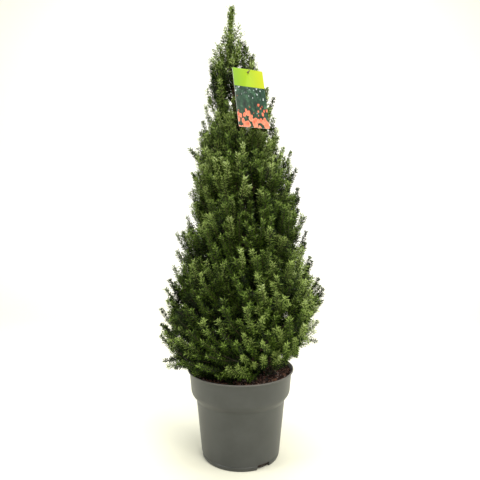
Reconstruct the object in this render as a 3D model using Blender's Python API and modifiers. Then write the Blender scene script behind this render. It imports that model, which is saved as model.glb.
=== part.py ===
"""Potted dwarf spruce: a moulded nursery pot, its bark soil, the trunk, the boughs and the crown.

Every piece is a closed solid of its own. Units are metres, +Z is up, the front is -Y, and the
origin is the centre of the pot's flat underside.
"""

import math
import random
from dataclasses import dataclass

import bmesh
import bpy
from mathutils import Matrix, Vector
from mathutils.bvhtree import BVHTree

# Clearances
GAP = 0.0003  # between neighbouring solids
MERGE = 0.00001  # points closer than this become one

# Pot: heights and outer radii of the moulded wall, from the foot to just under the lip
POT_WALL = 0.0022
POT_FLOOR = 0.0025
POT_STEPS = 32
POT_FOOT = ((0.0, 0.0955), (0.0020, 0.0976), (0.0060, 0.0987), (0.0147, 0.1000))
POT_SHOULDER = ((0.1440, 0.1135), (0.1500, 0.1170), (0.1590, 0.1246), (0.1680, 0.1269))
POT_COLLAR = (0.2145, 0.1313)
LIP_RADIUS = 0.1364
LIP_HEIGHT = 0.2205
LIP_DEPTH = 0.0030
LIP_EDGE = 0.0012
NOTCH_WIDTH = 0.039
NOTCH_HEIGHT = 0.012
NOTCH_DEPTH = 0.034
NOTCH_AZIMUTHS = (-55.5, 64.5, 184.5)  # degrees from +X

# Soil: a mound of bark that fills the pot to just below the lip
SOIL_EDGE_HEIGHT = 0.2030
SOIL_MOUND = ((0.105, 0.2065), (0.075, 0.2085), (0.048, 0.2100), (0.030, 0.2105))
SOIL_CHIP = 0.0025  # how far the bark chips lift or drop the surface
SOIL_SEED = 7

# Trunk: height, x, y and radius from the ground cut to the foot of the leader
TRUNK_LINE = (
    (0.2108, 0.000, 0.000, 0.0150),
    (0.2300, 0.000, 0.000, 0.0118),
    (0.3000, 0.000, 0.001, 0.0102),
    (0.4000, -0.001, 0.002, 0.0091),
    (0.5200, -0.003, 0.001, 0.0080),
    (0.6400, -0.006, -0.001, 0.0069),
    (0.7700, -0.010, 0.000, 0.0056),
    (0.8900, -0.013, 0.001, 0.0044),
    (0.9500, -0.020, 0.000, 0.0036),
    (0.9950, -0.0276, 0.000, 0.0029),
)
LEADER_LINE = (
    (1.0400, -0.0275, 0.000),
    (1.0900, -0.0262, 0.000),
    (1.1300, -0.0235, 0.000),
    (1.1600, -0.0222, 0.000),
)
FLARE_HEIGHT = 0.018
FLARE_LOBES = 4
FLARE_DEPTH = 0.0032

# Crown outline: height, radius and sway of its middle along X
CROWN = (
    (0.225, 0.118, -0.014),
    (0.250, 0.156, -0.020),
    (0.280, 0.184, -0.025),
    (0.310, 0.202, -0.012),
    (0.400, 0.204, 0.013),
    (0.490, 0.175, 0.008),
    (0.610, 0.155, 0.012),
    (0.715, 0.135, 0.004),
    (0.780, 0.125, -0.006),
    (0.860, 0.090, -0.002),
    (0.950, 0.080, -0.010),
    (1.010, 0.064, -0.022),
    (1.055, 0.044, -0.020),
    (1.110, 0.014, -0.025),
    (1.160, 0.006, -0.022),
)
CROWN_WAVE = 0.03  # share of the radius by which the outline swells and sinks round the crown

# A spray of needles, on a length of 1 and a radius of 1: whorls of tips with valleys between them
SPRAY_SIDES = 4
SPRAY_PROFILE = ((1.00, 0.0), (0.74, 0.72), (0.58, 0.36), (0.42, 1.00), (-0.06, 0.0))
SPRAY_LENGTHS = (0.055, 0.120)
SPRAY_SINK = 0.021  # how far a spray's root lies inside the core
SPRAY_REACH = (0.93, 1.0)  # shares of the outline that the tips come to
SPRAY_FAN = 0.18  # how much a mass's sprays spread sideways, as a share of their azimuth in it
ROW_ENDS = 0.90  # where a core's outermost sprays stand, as a share of its half width and height
CELL_MARGIN = 0.0006  # between a spray and the border of its mass's space
LIMB_MARGIN = 0.0012  # between a spray and a limb or the tag
CORE_MARGIN = 0.0035
CORE_LEAST = 0.012  # least depth of a core from its inner to its outer side
CORE_ROUNDING = (1.0, 0.95, 0.88)  # how far a core's faces, edges and corners reach
CROWN_SEED = 41

# Boughs and stems
BOUGH_ROOT_RADIUS = 0.0055
BOUGH_TIP_RADIUS = 0.0035
BOUGH_ROOTS = (0.06, 0.70)  # shares of the way up the trunk between a tier's two cones
STEM_RADIUS = 0.0032
STEM_SHOW = 0.012  # length of a stem between its bough's tip and its core
STEM_SINK = 0.020

# Tag: a stiff printed plate that hangs on a stub of twig
TAG_WIDTH = 0.0835
TAG_HEIGHT = 0.157
TAG_THICKNESS = 0.0009
TAG_CORNER = 0.003
TAG_CENTRE = Vector((0.0253, -0.0650, 0.8995))
TAG_TURN = math.radians(25.0)  # about +Z, towards +X
TAG_LEAN = math.radians(14.5)  # its top edge leans back
TAG_HOLE_RADIUS = 0.0026
TAG_HOLE_DROP = 0.0088  # from the top edge to the hole's centre
TAG_TWIG_RADIUS = 0.0020
TAG_TWIG_HEIGHT = 0.938  # where the twig leaves the trunk
TAG_TWIG_END = 0.009  # how far it stands out of the tag


@dataclass(frozen=True)
class Tier:
    """One storey of masses between two cones whose slant follows its shoots."""

    name: str
    count: int
    turn: float  # azimuth of the first mass, degrees
    floor: tuple  # height at the trunk and slope of the lower cone
    roof: tuple
    core_in: float  # share of the outline's radius where the core begins
    show: float  # depth of the sprays that stand out of the core
    thick: float  # radius of a spray
    rows: tuple  # sprays in each row, from the lowest
    rise: tuple  # climb of the lowest and the highest row, degrees
    bough: bool  # whether a bough carries each mass


DENSE_TIERS = (
    Tier(
        "skirt", 6, 30.0, (0.2270, 0.00), (0.270, 0.80), 0.42, 0.044, 0.0175, (4, 3, 4, 3), (-9, 36), True
    ),
    Tier(
        "low", 6, 45.0, (0.270, 0.80), (0.372, 1.10), 0.40, 0.042, 0.0175, (4, 3, 4), (37, 47), True
    ),
    Tier(
        "middle", 5, 44.0, (0.372, 1.10), (0.490, 1.35), 0.36, 0.038, 0.0170, (3, 4, 3), (46, 53), True
    ),
    Tier(
        "high", 5, 64.0, (0.490, 1.35), (0.618, 1.62), 0.32, 0.034, 0.0165, (3, 3, 3), (52, 58), True
    ),
    Tier(
        "upper", 4, 70.0, (0.618, 1.62), (0.745, 2.00), 0.26, 0.028, 0.0155, (2, 3, 2), (57, 63), False
    ),
)
NECK = Tier(
    "neck", 3, -50.0, (0.745, 2.00), (0.885, 2.60), 0.0, 0.0, 0.0150, (), (60, 69), False
)
LEADER = Tier("leader", 1, 0.0, (0.885, 2.60), (2.0, 0.0), 0.0, 0.0, 0.0135, (), (40, 82), False)
NECK_ROOT = 0.30  # share of the way up the trunk between the neck's two cones
NECK_STEM_RADII = (0.014, 0.022, 0.030)  # how far a neck mass's stem stands off at its knots
NECK_SPRAYS = 9
LEADER_SPRAYS = 16
OPEN_CROWDING = 1.5  # above 1, more of an open mass's sprays stand near its foot
GOLDEN_TURN = 0.382  # share of the way round that an open mass's next spray is turned
OPEN_START = 0.02  # share of an open mass's stem below its first spray


# ---------------------------------------------------------------- scene and mesh helpers


def clear_scene():
    for item in list(bpy.data.objects):
        bpy.data.objects.remove(item, do_unlink=True)


def new_collection(name):
    group = bpy.data.collections.new(name)
    bpy.context.scene.collection.children.link(group)
    return group


def new_material(name, colour, roughness):
    material = bpy.data.materials.new(name)
    material.use_nodes = True
    shader = material.node_tree.nodes["Principled BSDF"]
    shader.inputs["Base Color"].default_value = (*colour, 1.0)
    shader.inputs["Roughness"].default_value = roughness
    shader.inputs["Metallic"].default_value = 0.0
    material.diffuse_color = (*colour, 1.0)
    return material


def new_object(name, data, collection, material=None):
    item = bpy.data.objects.new(name, data)
    collection.objects.link(item)
    if material:
        data.materials.clear()
        data.materials.append(material)
    return item


def hide_tool(item):
    item.hide_render = True
    item.display_type = "WIRE"


def evaluated_mesh(item):
    """The object's mesh with its modifiers applied and its loose caps and seams welded."""
    depsgraph = bpy.context.evaluated_depsgraph_get()
    mesh = bpy.data.meshes.new_from_object(item.evaluated_get(depsgraph))
    surface = bmesh.new()
    surface.from_mesh(mesh)
    bmesh.ops.remove_doubles(surface, verts=surface.verts, dist=MERGE)
    surface.to_mesh(mesh)
    surface.free()
    return mesh


def baked(item, collection):
    """Replace an object by a plain mesh object of the same name and place."""
    name, place, mesh = item.name, item.matrix_world.copy(), evaluated_mesh(item)
    material = item.data.materials[0] if item.data.materials else None
    bpy.data.objects.remove(item, do_unlink=True)
    plain = new_object(name, mesh, collection, material)
    plain.matrix_world = place
    return plain


def add_boolean(item, operation, operand, solver="EXACT"):
    modifier = item.modifiers.new(operation.title(), "BOOLEAN")
    modifier.operation = operation
    modifier.solver = solver
    if isinstance(operand, bpy.types.Collection):
        modifier.operand_type = "COLLECTION"
        modifier.collection = operand
    else:
        modifier.object = operand
    return modifier


def turned_object(name, profile, steps, collection, material=None):
    """A body turned about +Z from a profile of (radius, height) points, listed down its outside."""
    mesh = bpy.data.meshes.new(name)
    points = [(radius, 0.0, height) for radius, height in profile]
    mesh.from_pydata(points, [(i, i + 1) for i in range(len(points) - 1)], [])
    item = new_object(name, mesh, collection, material)
    screw = item.modifiers.new("Turn", "SCREW")
    screw.axis = "Z"
    screw.steps = screw.render_steps = steps
    screw.use_merge_vertices = True
    screw.merge_threshold = MERGE
    return item


def limb_object(name, points, sides_level, collection, material=None):
    """A tapering limb along (point, radius) pairs, flat at both ends."""
    curve = bpy.data.curves.new(name, "CURVE")
    curve.dimensions = "3D"
    curve.bevel_depth = 1.0
    curve.bevel_resolution = sides_level
    curve.use_fill_caps = True
    spline = curve.splines.new("POLY")
    spline.points.add(len(points) - 1)
    for knot, (place, radius) in zip(spline.points, points):
        knot.co = (*place, 1.0)
        knot.radius = radius
    return baked(new_object(name, curve, collection, material), collection)


def keep_largest_piece(mesh):
    """Drop loose scraps and sealed hollows, and tell whether one closed body is left."""
    surface = bmesh.new()
    surface.from_mesh(mesh)
    bmesh.ops.triangulate(surface, faces=surface.faces)
    surface.verts.ensure_lookup_table()
    unseen = set(surface.verts)
    pieces = []
    while unseen:
        stack, piece = [unseen.pop()], set()
        while stack:
            vert = stack.pop()
            piece.add(vert)
            for edge in vert.link_edges:
                other = edge.other_vert(vert)
                if other in unseen:
                    unseen.discard(other)
                    stack.append(other)
        pieces.append(piece)
    largest = max(pieces, key=len)
    scraps = [vert for piece in pieces if piece is not largest for vert in piece]
    bmesh.ops.delete(surface, geom=scraps, context="VERTS")
    closed = all(len(edge.link_faces) == 2 for edge in surface.edges)
    surface.to_mesh(mesh)
    surface.free()
    return closed


def tree_of(item):
    """A search tree of an object's faces in world space."""
    points = [item.matrix_world @ vert.co for vert in item.data.vertices]
    return BVHTree.FromPolygons(points, [tuple(face.vertices) for face in item.data.polygons])


# ---------------------------------------------------------------- pot and soil


def pot_outside():
    """Outer (height, radius) points of the pot's wall, from the foot to under the lip."""
    return (*POT_FOOT, *POT_SHOULDER, POT_COLLAR)


def inner_radius(height):
    return interpolate([(z, radius - POT_WALL) for z, radius in pot_outside()], height, 1)


def build_pot(collection, cutters, material):
    collar_height, collar_radius = POT_COLLAR
    inner_heights = [POT_FLOOR, *[z for z, _ in pot_outside()[3:]]]
    profile = [(0.0, POT_FLOOR)]
    profile += [(inner_radius(z), z) for z in inner_heights]
    profile += [
        (LIP_RADIUS - LIP_DEPTH, LIP_HEIGHT),
        (LIP_RADIUS - LIP_EDGE, LIP_HEIGHT),
        (LIP_RADIUS, LIP_HEIGHT - LIP_EDGE),
        (LIP_RADIUS, LIP_HEIGHT - LIP_DEPTH),
        (collar_radius + LIP_EDGE / 2, LIP_HEIGHT - LIP_DEPTH - LIP_EDGE),
        (collar_radius, collar_height),
    ]
    profile += [(radius, z) for z, radius in reversed(pot_outside()[:-1])]
    profile.append((0.0, 0.0))
    pot = turned_object("pot", profile, POT_STEPS, collection, material)
    for degrees in NOTCH_AZIMUTHS:
        bpy.ops.mesh.primitive_cube_add(size=1.0)
        cutter = bpy.context.object
        cutter.name = "notch_cutter"
        turn = Matrix.Rotation(math.radians(degrees), 4, "Z")
        slide = Matrix.Translation((POT_FOOT[-1][1], 0.0, 0.0))
        size = Matrix.Diagonal((NOTCH_DEPTH, NOTCH_WIDTH, 2 * NOTCH_HEIGHT, 1.0))
        cutter.data.transform(turn @ slide @ size)
        move_to(cutter, cutters)
        hide_tool(cutter)
        add_boolean(pot, "DIFFERENCE", cutter)
    return pot


def move_to(item, collection):
    for group in list(item.users_collection):
        group.objects.unlink(item)
    collection.objects.link(item)


def build_soil(collection, material):
    floor = POT_FLOOR + GAP
    heights = [floor, POT_FOOT[-1][0], POT_SHOULDER[0][0], POT_SHOULDER[-1][0], SOIL_EDGE_HEIGHT]
    profile = [(0.0, SOIL_MOUND[-1][1])]
    profile += [(radius, z) for radius, z in reversed(SOIL_MOUND)]
    profile += [(inner_radius(z) - GAP, z) for z in reversed(heights)]
    profile.append((0.0, floor))
    soil = baked(turned_object("soil", profile, POT_STEPS, collection, material), collection)
    draw = random.Random(SOIL_SEED)
    trunk_patch = SOIL_MOUND[-1][0] + GAP
    for vert in soil.data.vertices:
        radius = math.hypot(vert.co.x, vert.co.y)
        if vert.co.z > SOIL_EDGE_HEIGHT + GAP and radius > trunk_patch:
            vert.co.z += draw.uniform(-SOIL_CHIP, SOIL_CHIP)
    return soil


# ---------------------------------------------------------------- trunk, boughs and tag


def interpolate(rows, value, column):
    """Read one column of rows that are sorted by their first value."""
    if value <= rows[0][0]:
        return rows[0][column]
    for low, high in zip(rows, rows[1:]):
        if value <= high[0]:
            share = (value - low[0]) / (high[0] - low[0])
            return low[column] + share * (high[column] - low[column])
    return rows[-1][column]


STEM_LINE = tuple(row[:3] for row in TRUNK_LINE) + LEADER_LINE


def stem_point(height):
    """The middle of the trunk or the leader at a height."""
    return Vector((interpolate(STEM_LINE, height, 1), interpolate(STEM_LINE, height, 2), height))


def build_trunk(collection, material, name="trunk", swell=0.0):
    """The trunk, or the same limb swollen by a clearance."""
    points = [((x, y, z), radius + swell) for z, x, y, radius in TRUNK_LINE]
    trunk = limb_object(name, points, 4, collection, material)
    ground = TRUNK_LINE[0][0]
    for vert in trunk.data.vertices:
        share = 1.0 - (vert.co.z - ground) / FLARE_HEIGHT
        if share > 0.0:
            turn = math.atan2(vert.co.y, vert.co.x)
            lobe = FLARE_DEPTH * share * (1.0 + math.cos(FLARE_LOBES * turn)) / 2
            vert.co.x += lobe * math.cos(turn)
            vert.co.y += lobe * math.sin(turn)
    return trunk


def build_tag(collection, material):
    curve = bpy.data.curves.new("tag", "CURVE")
    curve.dimensions = "2D"
    curve.fill_mode = "BOTH"
    curve.extrude = TAG_THICKNESS / 2
    half_width, half_height = TAG_WIDTH / 2, TAG_HEIGHT / 2
    outline = []
    for index, (side, up) in enumerate(((1, 1), (-1, 1), (-1, -1), (1, -1))):
        middle = Vector((side * (half_width - TAG_CORNER), up * (half_height - TAG_CORNER)))
        for step in range(3):
            angle = math.radians(90 * index + 45 * step)
            outline.append(middle + TAG_CORNER * Vector((math.cos(angle), math.sin(angle))))
    hole = [
        Vector((0.0, half_height - TAG_HOLE_DROP))
        + TAG_HOLE_RADIUS * Vector((math.cos(angle), -math.sin(angle)))
        for angle in (math.tau * step / 12 for step in range(12))
    ]
    for loop in (outline, hole):
        spline = curve.splines.new("POLY")
        spline.use_cyclic_u = True
        spline.points.add(len(loop) - 1)
        for knot, place in zip(spline.points, loop):
            knot.co = (place.x, place.y, 0.0, 1.0)
    tag = baked(new_object("tag", curve, collection, material), collection)
    tag.matrix_world = tag_place()
    return tag


def tag_place():
    """The tag's place: its local X runs along its width, Y up its height and Z out of its face."""
    turn = Matrix.Rotation(TAG_TURN, 4, "Z") @ Matrix.Rotation(math.pi / 2 - TAG_LEAN, 4, "X")
    return Matrix.Translation(TAG_CENTRE) @ turn


def build_tag_twig(collection, material, trunk_cutter):
    """The stub that carries the tag: it leaves the trunk, bends and passes through the hole."""
    place = tag_place()
    hole = place @ Vector((0.0, TAG_HEIGHT / 2 - TAG_HOLE_DROP, 0.0))
    out = (place.to_3x3() @ Vector((0.0, 0.0, 1.0))).normalized()
    root = stem_point(TAG_TWIG_HEIGHT)
    bend = hole - out * 0.014
    points = [
        (root, 1.2 * TAG_TWIG_RADIUS),
        (root.lerp(bend, 0.55) - Vector((0.0, 0.0, 0.003)), 1.1 * TAG_TWIG_RADIUS),
        (bend, TAG_TWIG_RADIUS),
        (hole, TAG_TWIG_RADIUS),
        (hole + out * TAG_TWIG_END, 0.7 * TAG_TWIG_RADIUS),
    ]
    twig = limb_object("tag_twig", points, 2, collection, material)
    return cut_clear(twig, trunk_cutter, collection)


def cut_clear(item, cutter, collection):
    """Take a cutter's space out of a piece and keep its largest part."""
    add_boolean(item, "DIFFERENCE", cutter)
    piece = baked(item, collection)
    keep_largest_piece(piece.data)
    return piece


def build_bough(name, end, direction, height, collection, material, trunk_cutter):
    """One tapering limb from the trunk to its mass's stem, which goes on in its direction."""
    root = stem_point(height)
    tip = end - direction * GAP
    knee = tip - direction * (tip - root).length * 0.45
    sag = Vector((0.0, 0.0, -0.04 * (tip - root).length))
    points = [
        (root, BOUGH_ROOT_RADIUS),
        (root.lerp(knee, 0.5) + sag, 0.5 * (BOUGH_ROOT_RADIUS + BOUGH_TIP_RADIUS)),
        (knee, 1.05 * BOUGH_TIP_RADIUS),
        (tip, BOUGH_TIP_RADIUS),
    ]
    bough = limb_object(name, points, 1, collection, material)
    return cut_clear(bough, trunk_cutter, collection)


# ---------------------------------------------------------------- masses of foliage


def reach(azimuth, height):
    """How far the crown's outline lies from the stem at an azimuth and a height."""
    radius = interpolate(CROWN, height, 1)
    sway = interpolate(CROWN, height, 2) - stem_point(height).x
    wave = 1.0 + CROWN_WAVE * math.sin(3 * azimuth + 9 * height)
    return radius * wave + sway * math.cos(azimuth)


def cone_height(cone, radius):
    return cone[0] + cone[1] * radius


@dataclass(frozen=True)
class Cell:
    """The space that one mass keeps to: a wedge round the stem between its tier's cones."""

    tier: Tier
    azimuth: float
    half_width: float

    def point(self, azimuth, radius, height):
        middle = stem_point(height)
        return middle + Vector((radius * math.cos(azimuth), radius * math.sin(azimuth), 0.0))

    def holds(self, place, margin):
        middle = stem_point(place.z)
        offset = Vector((place.x - middle.x, place.y - middle.y))
        turn = math.remainder(math.atan2(offset.y, offset.x) - self.azimuth, math.tau)
        radius = offset.length
        if self.half_width < math.pi:
            if abs(turn) >= self.half_width:
                return False
            if radius * math.sin(min(math.pi / 2, self.half_width - abs(turn))) < margin:
                return False
        above = place.z - cone_height(self.tier.floor, radius)
        below = cone_height(self.tier.roof, radius) - place.z
        return above > margin and below > margin

    def core_point(self, direction):
        """Where a point of a cube from -1 to 1 comes to lie: x turns, y is outward, z is up."""
        across, outward, up = direction
        middle_span = self.span_at(self.span_at(0.1, 0.0), 0.0)
        inner = self.tier.core_in * middle_span
        outer = max(self.span_at(middle_span, up) - self.tier.show, inner + CORE_LEAST)
        radius = inner + (outward + 1) / 2 * (outer - inner)
        wall = math.asin(min(0.9, CORE_MARGIN / radius))
        azimuth = self.azimuth + across * (self.half_width - wall)
        return self.point(azimuth, radius, self.height_at(radius, up, CORE_MARGIN))

    def span_at(self, radius, up):
        """The outline's distance from the stem at the height that a radius and a share give."""
        return reach(self.azimuth, self.height_at(radius, up))

    def height_at(self, radius, up, margin=0.0):
        """The height at a radius and a share from -1, the lower cone, to 1, the upper cone."""
        low = cone_height(self.tier.floor, radius) + margin
        high = cone_height(self.tier.roof, radius) - margin
        return low + (up + 1) / 2 * (high - low)


def cells_of(tier):
    half_width = math.pi / tier.count
    return [
        Cell(tier, math.radians(tier.turn) + 2 * half_width * index, half_width)
        for index in range(tier.count)
    ]


class Grower:
    """Makes the masses one after another, each fused from its core or stem and its sprays."""

    def __init__(self, collection, material, trunk_cutter, obstacles):
        self.collection = collection
        self.material = material
        self.trunk_cutter = trunk_cutter
        self.obstacles = [tree_of(item) for item in obstacles]
        self.fusing = new_collection("fusing")
        template = turned_object(
            "spray",
            [(radius, height) for height, radius in SPRAY_PROFILE],
            SPRAY_SIDES,
            self.fusing,
        )
        self.spray = evaluated_mesh(template)
        bpy.data.objects.remove(template, do_unlink=True)
        self.draw = random.Random(CROWN_SEED)

    def spray_mesh(self, root, direction, length, radius):
        """A copy of the template, stretched to its length and turned to its direction."""
        turn = direction.to_track_quat("Z", "Y").to_matrix().to_4x4()
        spin = Matrix.Rotation(self.draw.uniform(0, math.tau), 4, "Z")
        size = Matrix.Diagonal((radius, radius, length, 1.0))
        mesh = self.spray.copy()
        mesh.transform(Matrix.Translation(root) @ turn @ spin @ size)
        return mesh

    def fits(self, mesh, cell):
        """Whether a spray keeps to its mass's space and clear of limbs and the tag."""
        if not all(cell.holds(vert.co, CELL_MARGIN) for vert in mesh.vertices):
            return False
        points = [vert.co + vert.normal * LIMB_MARGIN for vert in mesh.vertices]
        tree = BVHTree.FromPolygons(points, [tuple(face.vertices) for face in mesh.polygons])
        return not any(tree.overlap(other) for other in self.obstacles)

    def length_to_outline(self, root, direction, share):
        """The length that brings a spray's tip to a share of the way out to the outline."""
        length, longest = SPRAY_LENGTHS
        longest = min(longest, (CROWN[-1][0] - root.z) / max(0.1, direction.z))
        length = min(length, longest)
        while length < longest:
            tip = root + direction * length
            middle = stem_point(tip.z)
            turn = math.atan2(tip.y - middle.y, tip.x - middle.x)
            if math.hypot(tip.x - middle.x, tip.y - middle.y) >= share * reach(turn, tip.z):
                break
            length += 0.002
        return length

    def try_spray(self, cell, root, azimuth, rise):
        """Grow a spray from a root; where it doesn't fit, try it shorter, slimmer and steeper."""
        share = self.draw.uniform(*SPRAY_REACH)
        turn = azimuth + self.draw.uniform(-0.14, 0.14)
        climb = math.radians(rise + self.draw.uniform(-6, 6))
        for size, lift in ((1.0, 0.0), (0.94, 0.10), (0.86, -0.10), (0.78, 0.18)):
            level = math.cos(climb + lift)
            direction = Vector(
                (level * math.cos(turn), level * math.sin(turn), math.sin(climb + lift))
            )
            length = size * self.length_to_outline(root, direction, share)
            mesh = self.spray_mesh(root, direction, length, size * cell.tier.thick)
            if self.fits(mesh, cell):
                new_object("spray", mesh, self.fusing)
                return True
            bpy.data.meshes.remove(mesh)
        return False

    def fuse(self, base, name):
        """Join the base and its sprays by one union, then clear the trunk's space out of it."""
        for solver in ("EXACT", "MANIFOLD"):
            add_boolean(base, "UNION", self.fusing, solver)
            add_boolean(base, "DIFFERENCE", self.trunk_cutter, solver)
            mesh = evaluated_mesh(base)
            if keep_largest_piece(mesh):
                break
            base.modifiers.clear()
        for item in [base, *self.fusing.objects]:
            bpy.data.objects.remove(item, do_unlink=True)
        return new_object(name, mesh, self.collection, self.material)

    def dense_mass(self, cell, name):
        """A core within the cell, a stem on its inner side and rows of sprays on its outside."""
        surface = bmesh.new()
        bmesh.ops.create_cube(surface, size=2.0)
        bmesh.ops.subdivide_edges(surface, edges=surface.edges, cuts=1, use_grid_fill=True)
        for vert in surface.verts:
            outer_sides = sum(1 for value in vert.co if abs(value) > 0.5)
            vert.co = cell.core_point(vert.co * CORE_ROUNDING[outer_sides - 1])
        bmesh.ops.recalc_face_normals(surface, faces=surface.faces)
        mesh = bpy.data.meshes.new(name)
        surface.to_mesh(mesh)
        surface.free()
        core = new_object("core", mesh, self.collection)
        centre = sum((vert.co for vert in mesh.vertices), Vector()) / len(mesh.vertices)
        end, direction = self.stem_start(cell, centre)
        stem_root = end if cell.tier.bough else stem_point(end.z - 0.012)
        points = [(stem_root, STEM_RADIUS), (end + direction * (STEM_SHOW + STEM_SINK), STEM_RADIUS)]
        limb_object("stem", points, 1, self.fusing)
        rows = cell.tier.rows
        for row, columns in enumerate(rows):
            up = ROW_ENDS * (2 * row / (len(rows) - 1) - 1)
            rise = cell.tier.rise[0] + (cell.tier.rise[1] - cell.tier.rise[0]) * (up + 1) / 2
            for column in range(columns):
                across = ROW_ENDS * (2 * column / (columns - 1) - 1)
                surface_point = cell.core_point(Vector((across, 1.0, up)))
                root = surface_point.lerp(centre, SPRAY_SINK / (centre - surface_point).length)
                middle = stem_point(root.z)
                azimuth = math.atan2(root.y - middle.y, root.x - middle.x)
                azimuth += SPRAY_FAN * across * cell.half_width
                self.try_spray(cell, root, azimuth, rise)
        return self.fuse(core, name), end, direction

    def stem_start(self, cell, centre):
        """The open end of a dense mass's stem and the way it points, towards the core's middle."""
        inner = cell.core_point(Vector((0.0, -1.0, 0.0)))
        direction = (centre - inner).normalized()
        return inner - direction * STEM_SHOW, direction

    def open_mass(self, cell, name, line, sprays):
        """A tapering stem along a line with sprays all round it and one at its tip."""
        last = len(line) - 1
        points = [(place, STEM_RADIUS * (1.0 - 0.55 * i / last)) for i, place in enumerate(line)]
        stem = limb_object("stem", points, 1, self.collection)
        low, high = cell.tier.rise
        for index in range(sprays):
            share = OPEN_START + (1 - OPEN_START) * (index / (sprays - 1)) ** OPEN_CROWDING
            position = share * last
            step = min(last - 1, int(position))
            root = line[step].lerp(line[step + 1], position - step)
            turn = cell.azimuth + 2 * cell.half_width * math.remainder(index * GOLDEN_TURN, 1.0)
            if index == sprays - 1:
                climb = math.degrees(math.asin((line[-1] - line[-2]).normalized().z))
                turn = math.atan2(*reversed((line[-1] - line[-2]).xy))
                self.try_spray(cell, root, turn, climb)
            else:
                self.try_spray(cell, root, turn, low + (high - low) * share)
        return self.fuse(stem, name)


def neck_line(cell):
    """The stem of an open mass: it leaves the trunk and climbs through the middle of its cell."""
    low, high = cell.tier.floor[0], cell.tier.roof[0]
    line = [stem_point(low + NECK_ROOT * (high - low))]
    for radius in NECK_STEM_RADII:
        line.append(cell.point(cell.azimuth, radius, cell.height_at(radius, 0.0)))
    return line


def leader_line():
    """The stem of the leader, from just above the trunk's tip."""
    start = TRUNK_LINE[-1][0] + GAP
    heights = (start, *[row[0] for row in LEADER_LINE[:-1]])
    return [stem_point(height) for height in heights]


def main():
    clear_scene()
    parts = new_collection("potted_spruce")
    cutters = new_collection("cutters")
    plastic = new_material("pot_plastic", (0.115, 0.117, 0.105), 0.55)
    bark_soil = new_material("soil_bark", (0.045, 0.022, 0.014), 0.95)
    bark = new_material("bark", (0.130, 0.075, 0.040), 0.85)
    needles = new_material("needles", (0.080, 0.160, 0.035), 0.60)
    print_card = new_material("tag_print", (0.420, 0.640, 0.060), 0.30)

    build_pot(parts, cutters, plastic)
    build_soil(parts, bark_soil)
    trunk = build_trunk(parts, bark)
    trunk_cutter = build_trunk(cutters, None, "trunk_cutter", GAP)
    hide_tool(trunk_cutter)
    tag = build_tag(parts, print_card)
    tag_twig = build_tag_twig(parts, bark, trunk_cutter)

    grower = Grower(parts, needles, trunk_cutter, (trunk, tag, tag_twig))
    for tier in DENSE_TIERS:
        for index, cell in enumerate(cells_of(tier)):
            mass, end, direction = grower.dense_mass(cell, f"mass_{tier.name}_{index + 1}")
            if tier.bough:
                place = 0.5 * (index % 2) + (index // 2) / tier.count
                share = BOUGH_ROOTS[0] + (BOUGH_ROOTS[1] - BOUGH_ROOTS[0]) * place
                height = tier.floor[0] + share * (tier.roof[0] - tier.floor[0])
                name = f"bough_{tier.name}_{index + 1}"
                build_bough(name, end, direction, height, parts, bark, trunk_cutter)
    for number, cell in enumerate(cells_of(NECK), start=1):
        grower.open_mass(cell, f"mass_neck_{number}", neck_line(cell), NECK_SPRAYS)
    grower.open_mass(cells_of(LEADER)[0], "mass_leader", leader_line(), LEADER_SPRAYS)
    bpy.data.collections.remove(grower.fusing)


main()
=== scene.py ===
"""A dwarf spruce in its nursery pot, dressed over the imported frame.

Units are metres, +Z is up and the front is -Y. The frame gives the place of every piece, and each
class below builds and finishes one sub-assembly: the pot, the bark soil, the wood, the foliage,
the printed label and the studio round them.
"""

from __future__ import annotations

import logging
import math
import random
from collections import defaultdict
from collections.abc import Callable, Iterator, Sequence
from dataclasses import dataclass, field
from enum import Enum

import bmesh
import bpy
from mathutils import Matrix, Vector, noise

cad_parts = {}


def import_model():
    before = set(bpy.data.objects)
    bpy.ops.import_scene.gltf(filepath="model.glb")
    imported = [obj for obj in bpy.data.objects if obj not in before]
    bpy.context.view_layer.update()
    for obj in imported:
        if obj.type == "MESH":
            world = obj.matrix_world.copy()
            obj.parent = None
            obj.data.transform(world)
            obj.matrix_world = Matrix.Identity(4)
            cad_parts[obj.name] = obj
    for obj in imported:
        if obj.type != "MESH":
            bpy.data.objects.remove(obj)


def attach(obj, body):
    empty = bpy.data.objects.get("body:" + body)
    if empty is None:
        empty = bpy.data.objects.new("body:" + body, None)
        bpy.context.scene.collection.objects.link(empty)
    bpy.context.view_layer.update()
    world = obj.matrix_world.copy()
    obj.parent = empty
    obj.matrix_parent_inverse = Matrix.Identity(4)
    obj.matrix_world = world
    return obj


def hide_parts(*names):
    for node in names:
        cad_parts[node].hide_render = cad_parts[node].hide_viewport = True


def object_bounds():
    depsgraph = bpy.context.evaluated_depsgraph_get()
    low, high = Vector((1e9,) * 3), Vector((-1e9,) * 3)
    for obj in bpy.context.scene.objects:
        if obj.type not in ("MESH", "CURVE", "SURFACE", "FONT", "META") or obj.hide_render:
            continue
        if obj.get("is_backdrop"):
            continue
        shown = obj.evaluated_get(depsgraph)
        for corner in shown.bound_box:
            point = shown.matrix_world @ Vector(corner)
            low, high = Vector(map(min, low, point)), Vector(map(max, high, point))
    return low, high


log = logging.getLogger("spruce")

MM = 0.001
BODY = "root"
MERGE = 0.01 * MM  # points nearer than this are one
BARK_CREASE = 60.0  # bark is shaded smooth over edges flatter than this, in degrees
FLAKE_SEED = 8  # fixes the flakes of the bark's relief, which else follow the clock

Stops = tuple[tuple[float, str], ...]
Relief = Callable[[Vector, float], float]

# ---------------------------------------------------------------- colour and node helpers


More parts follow.
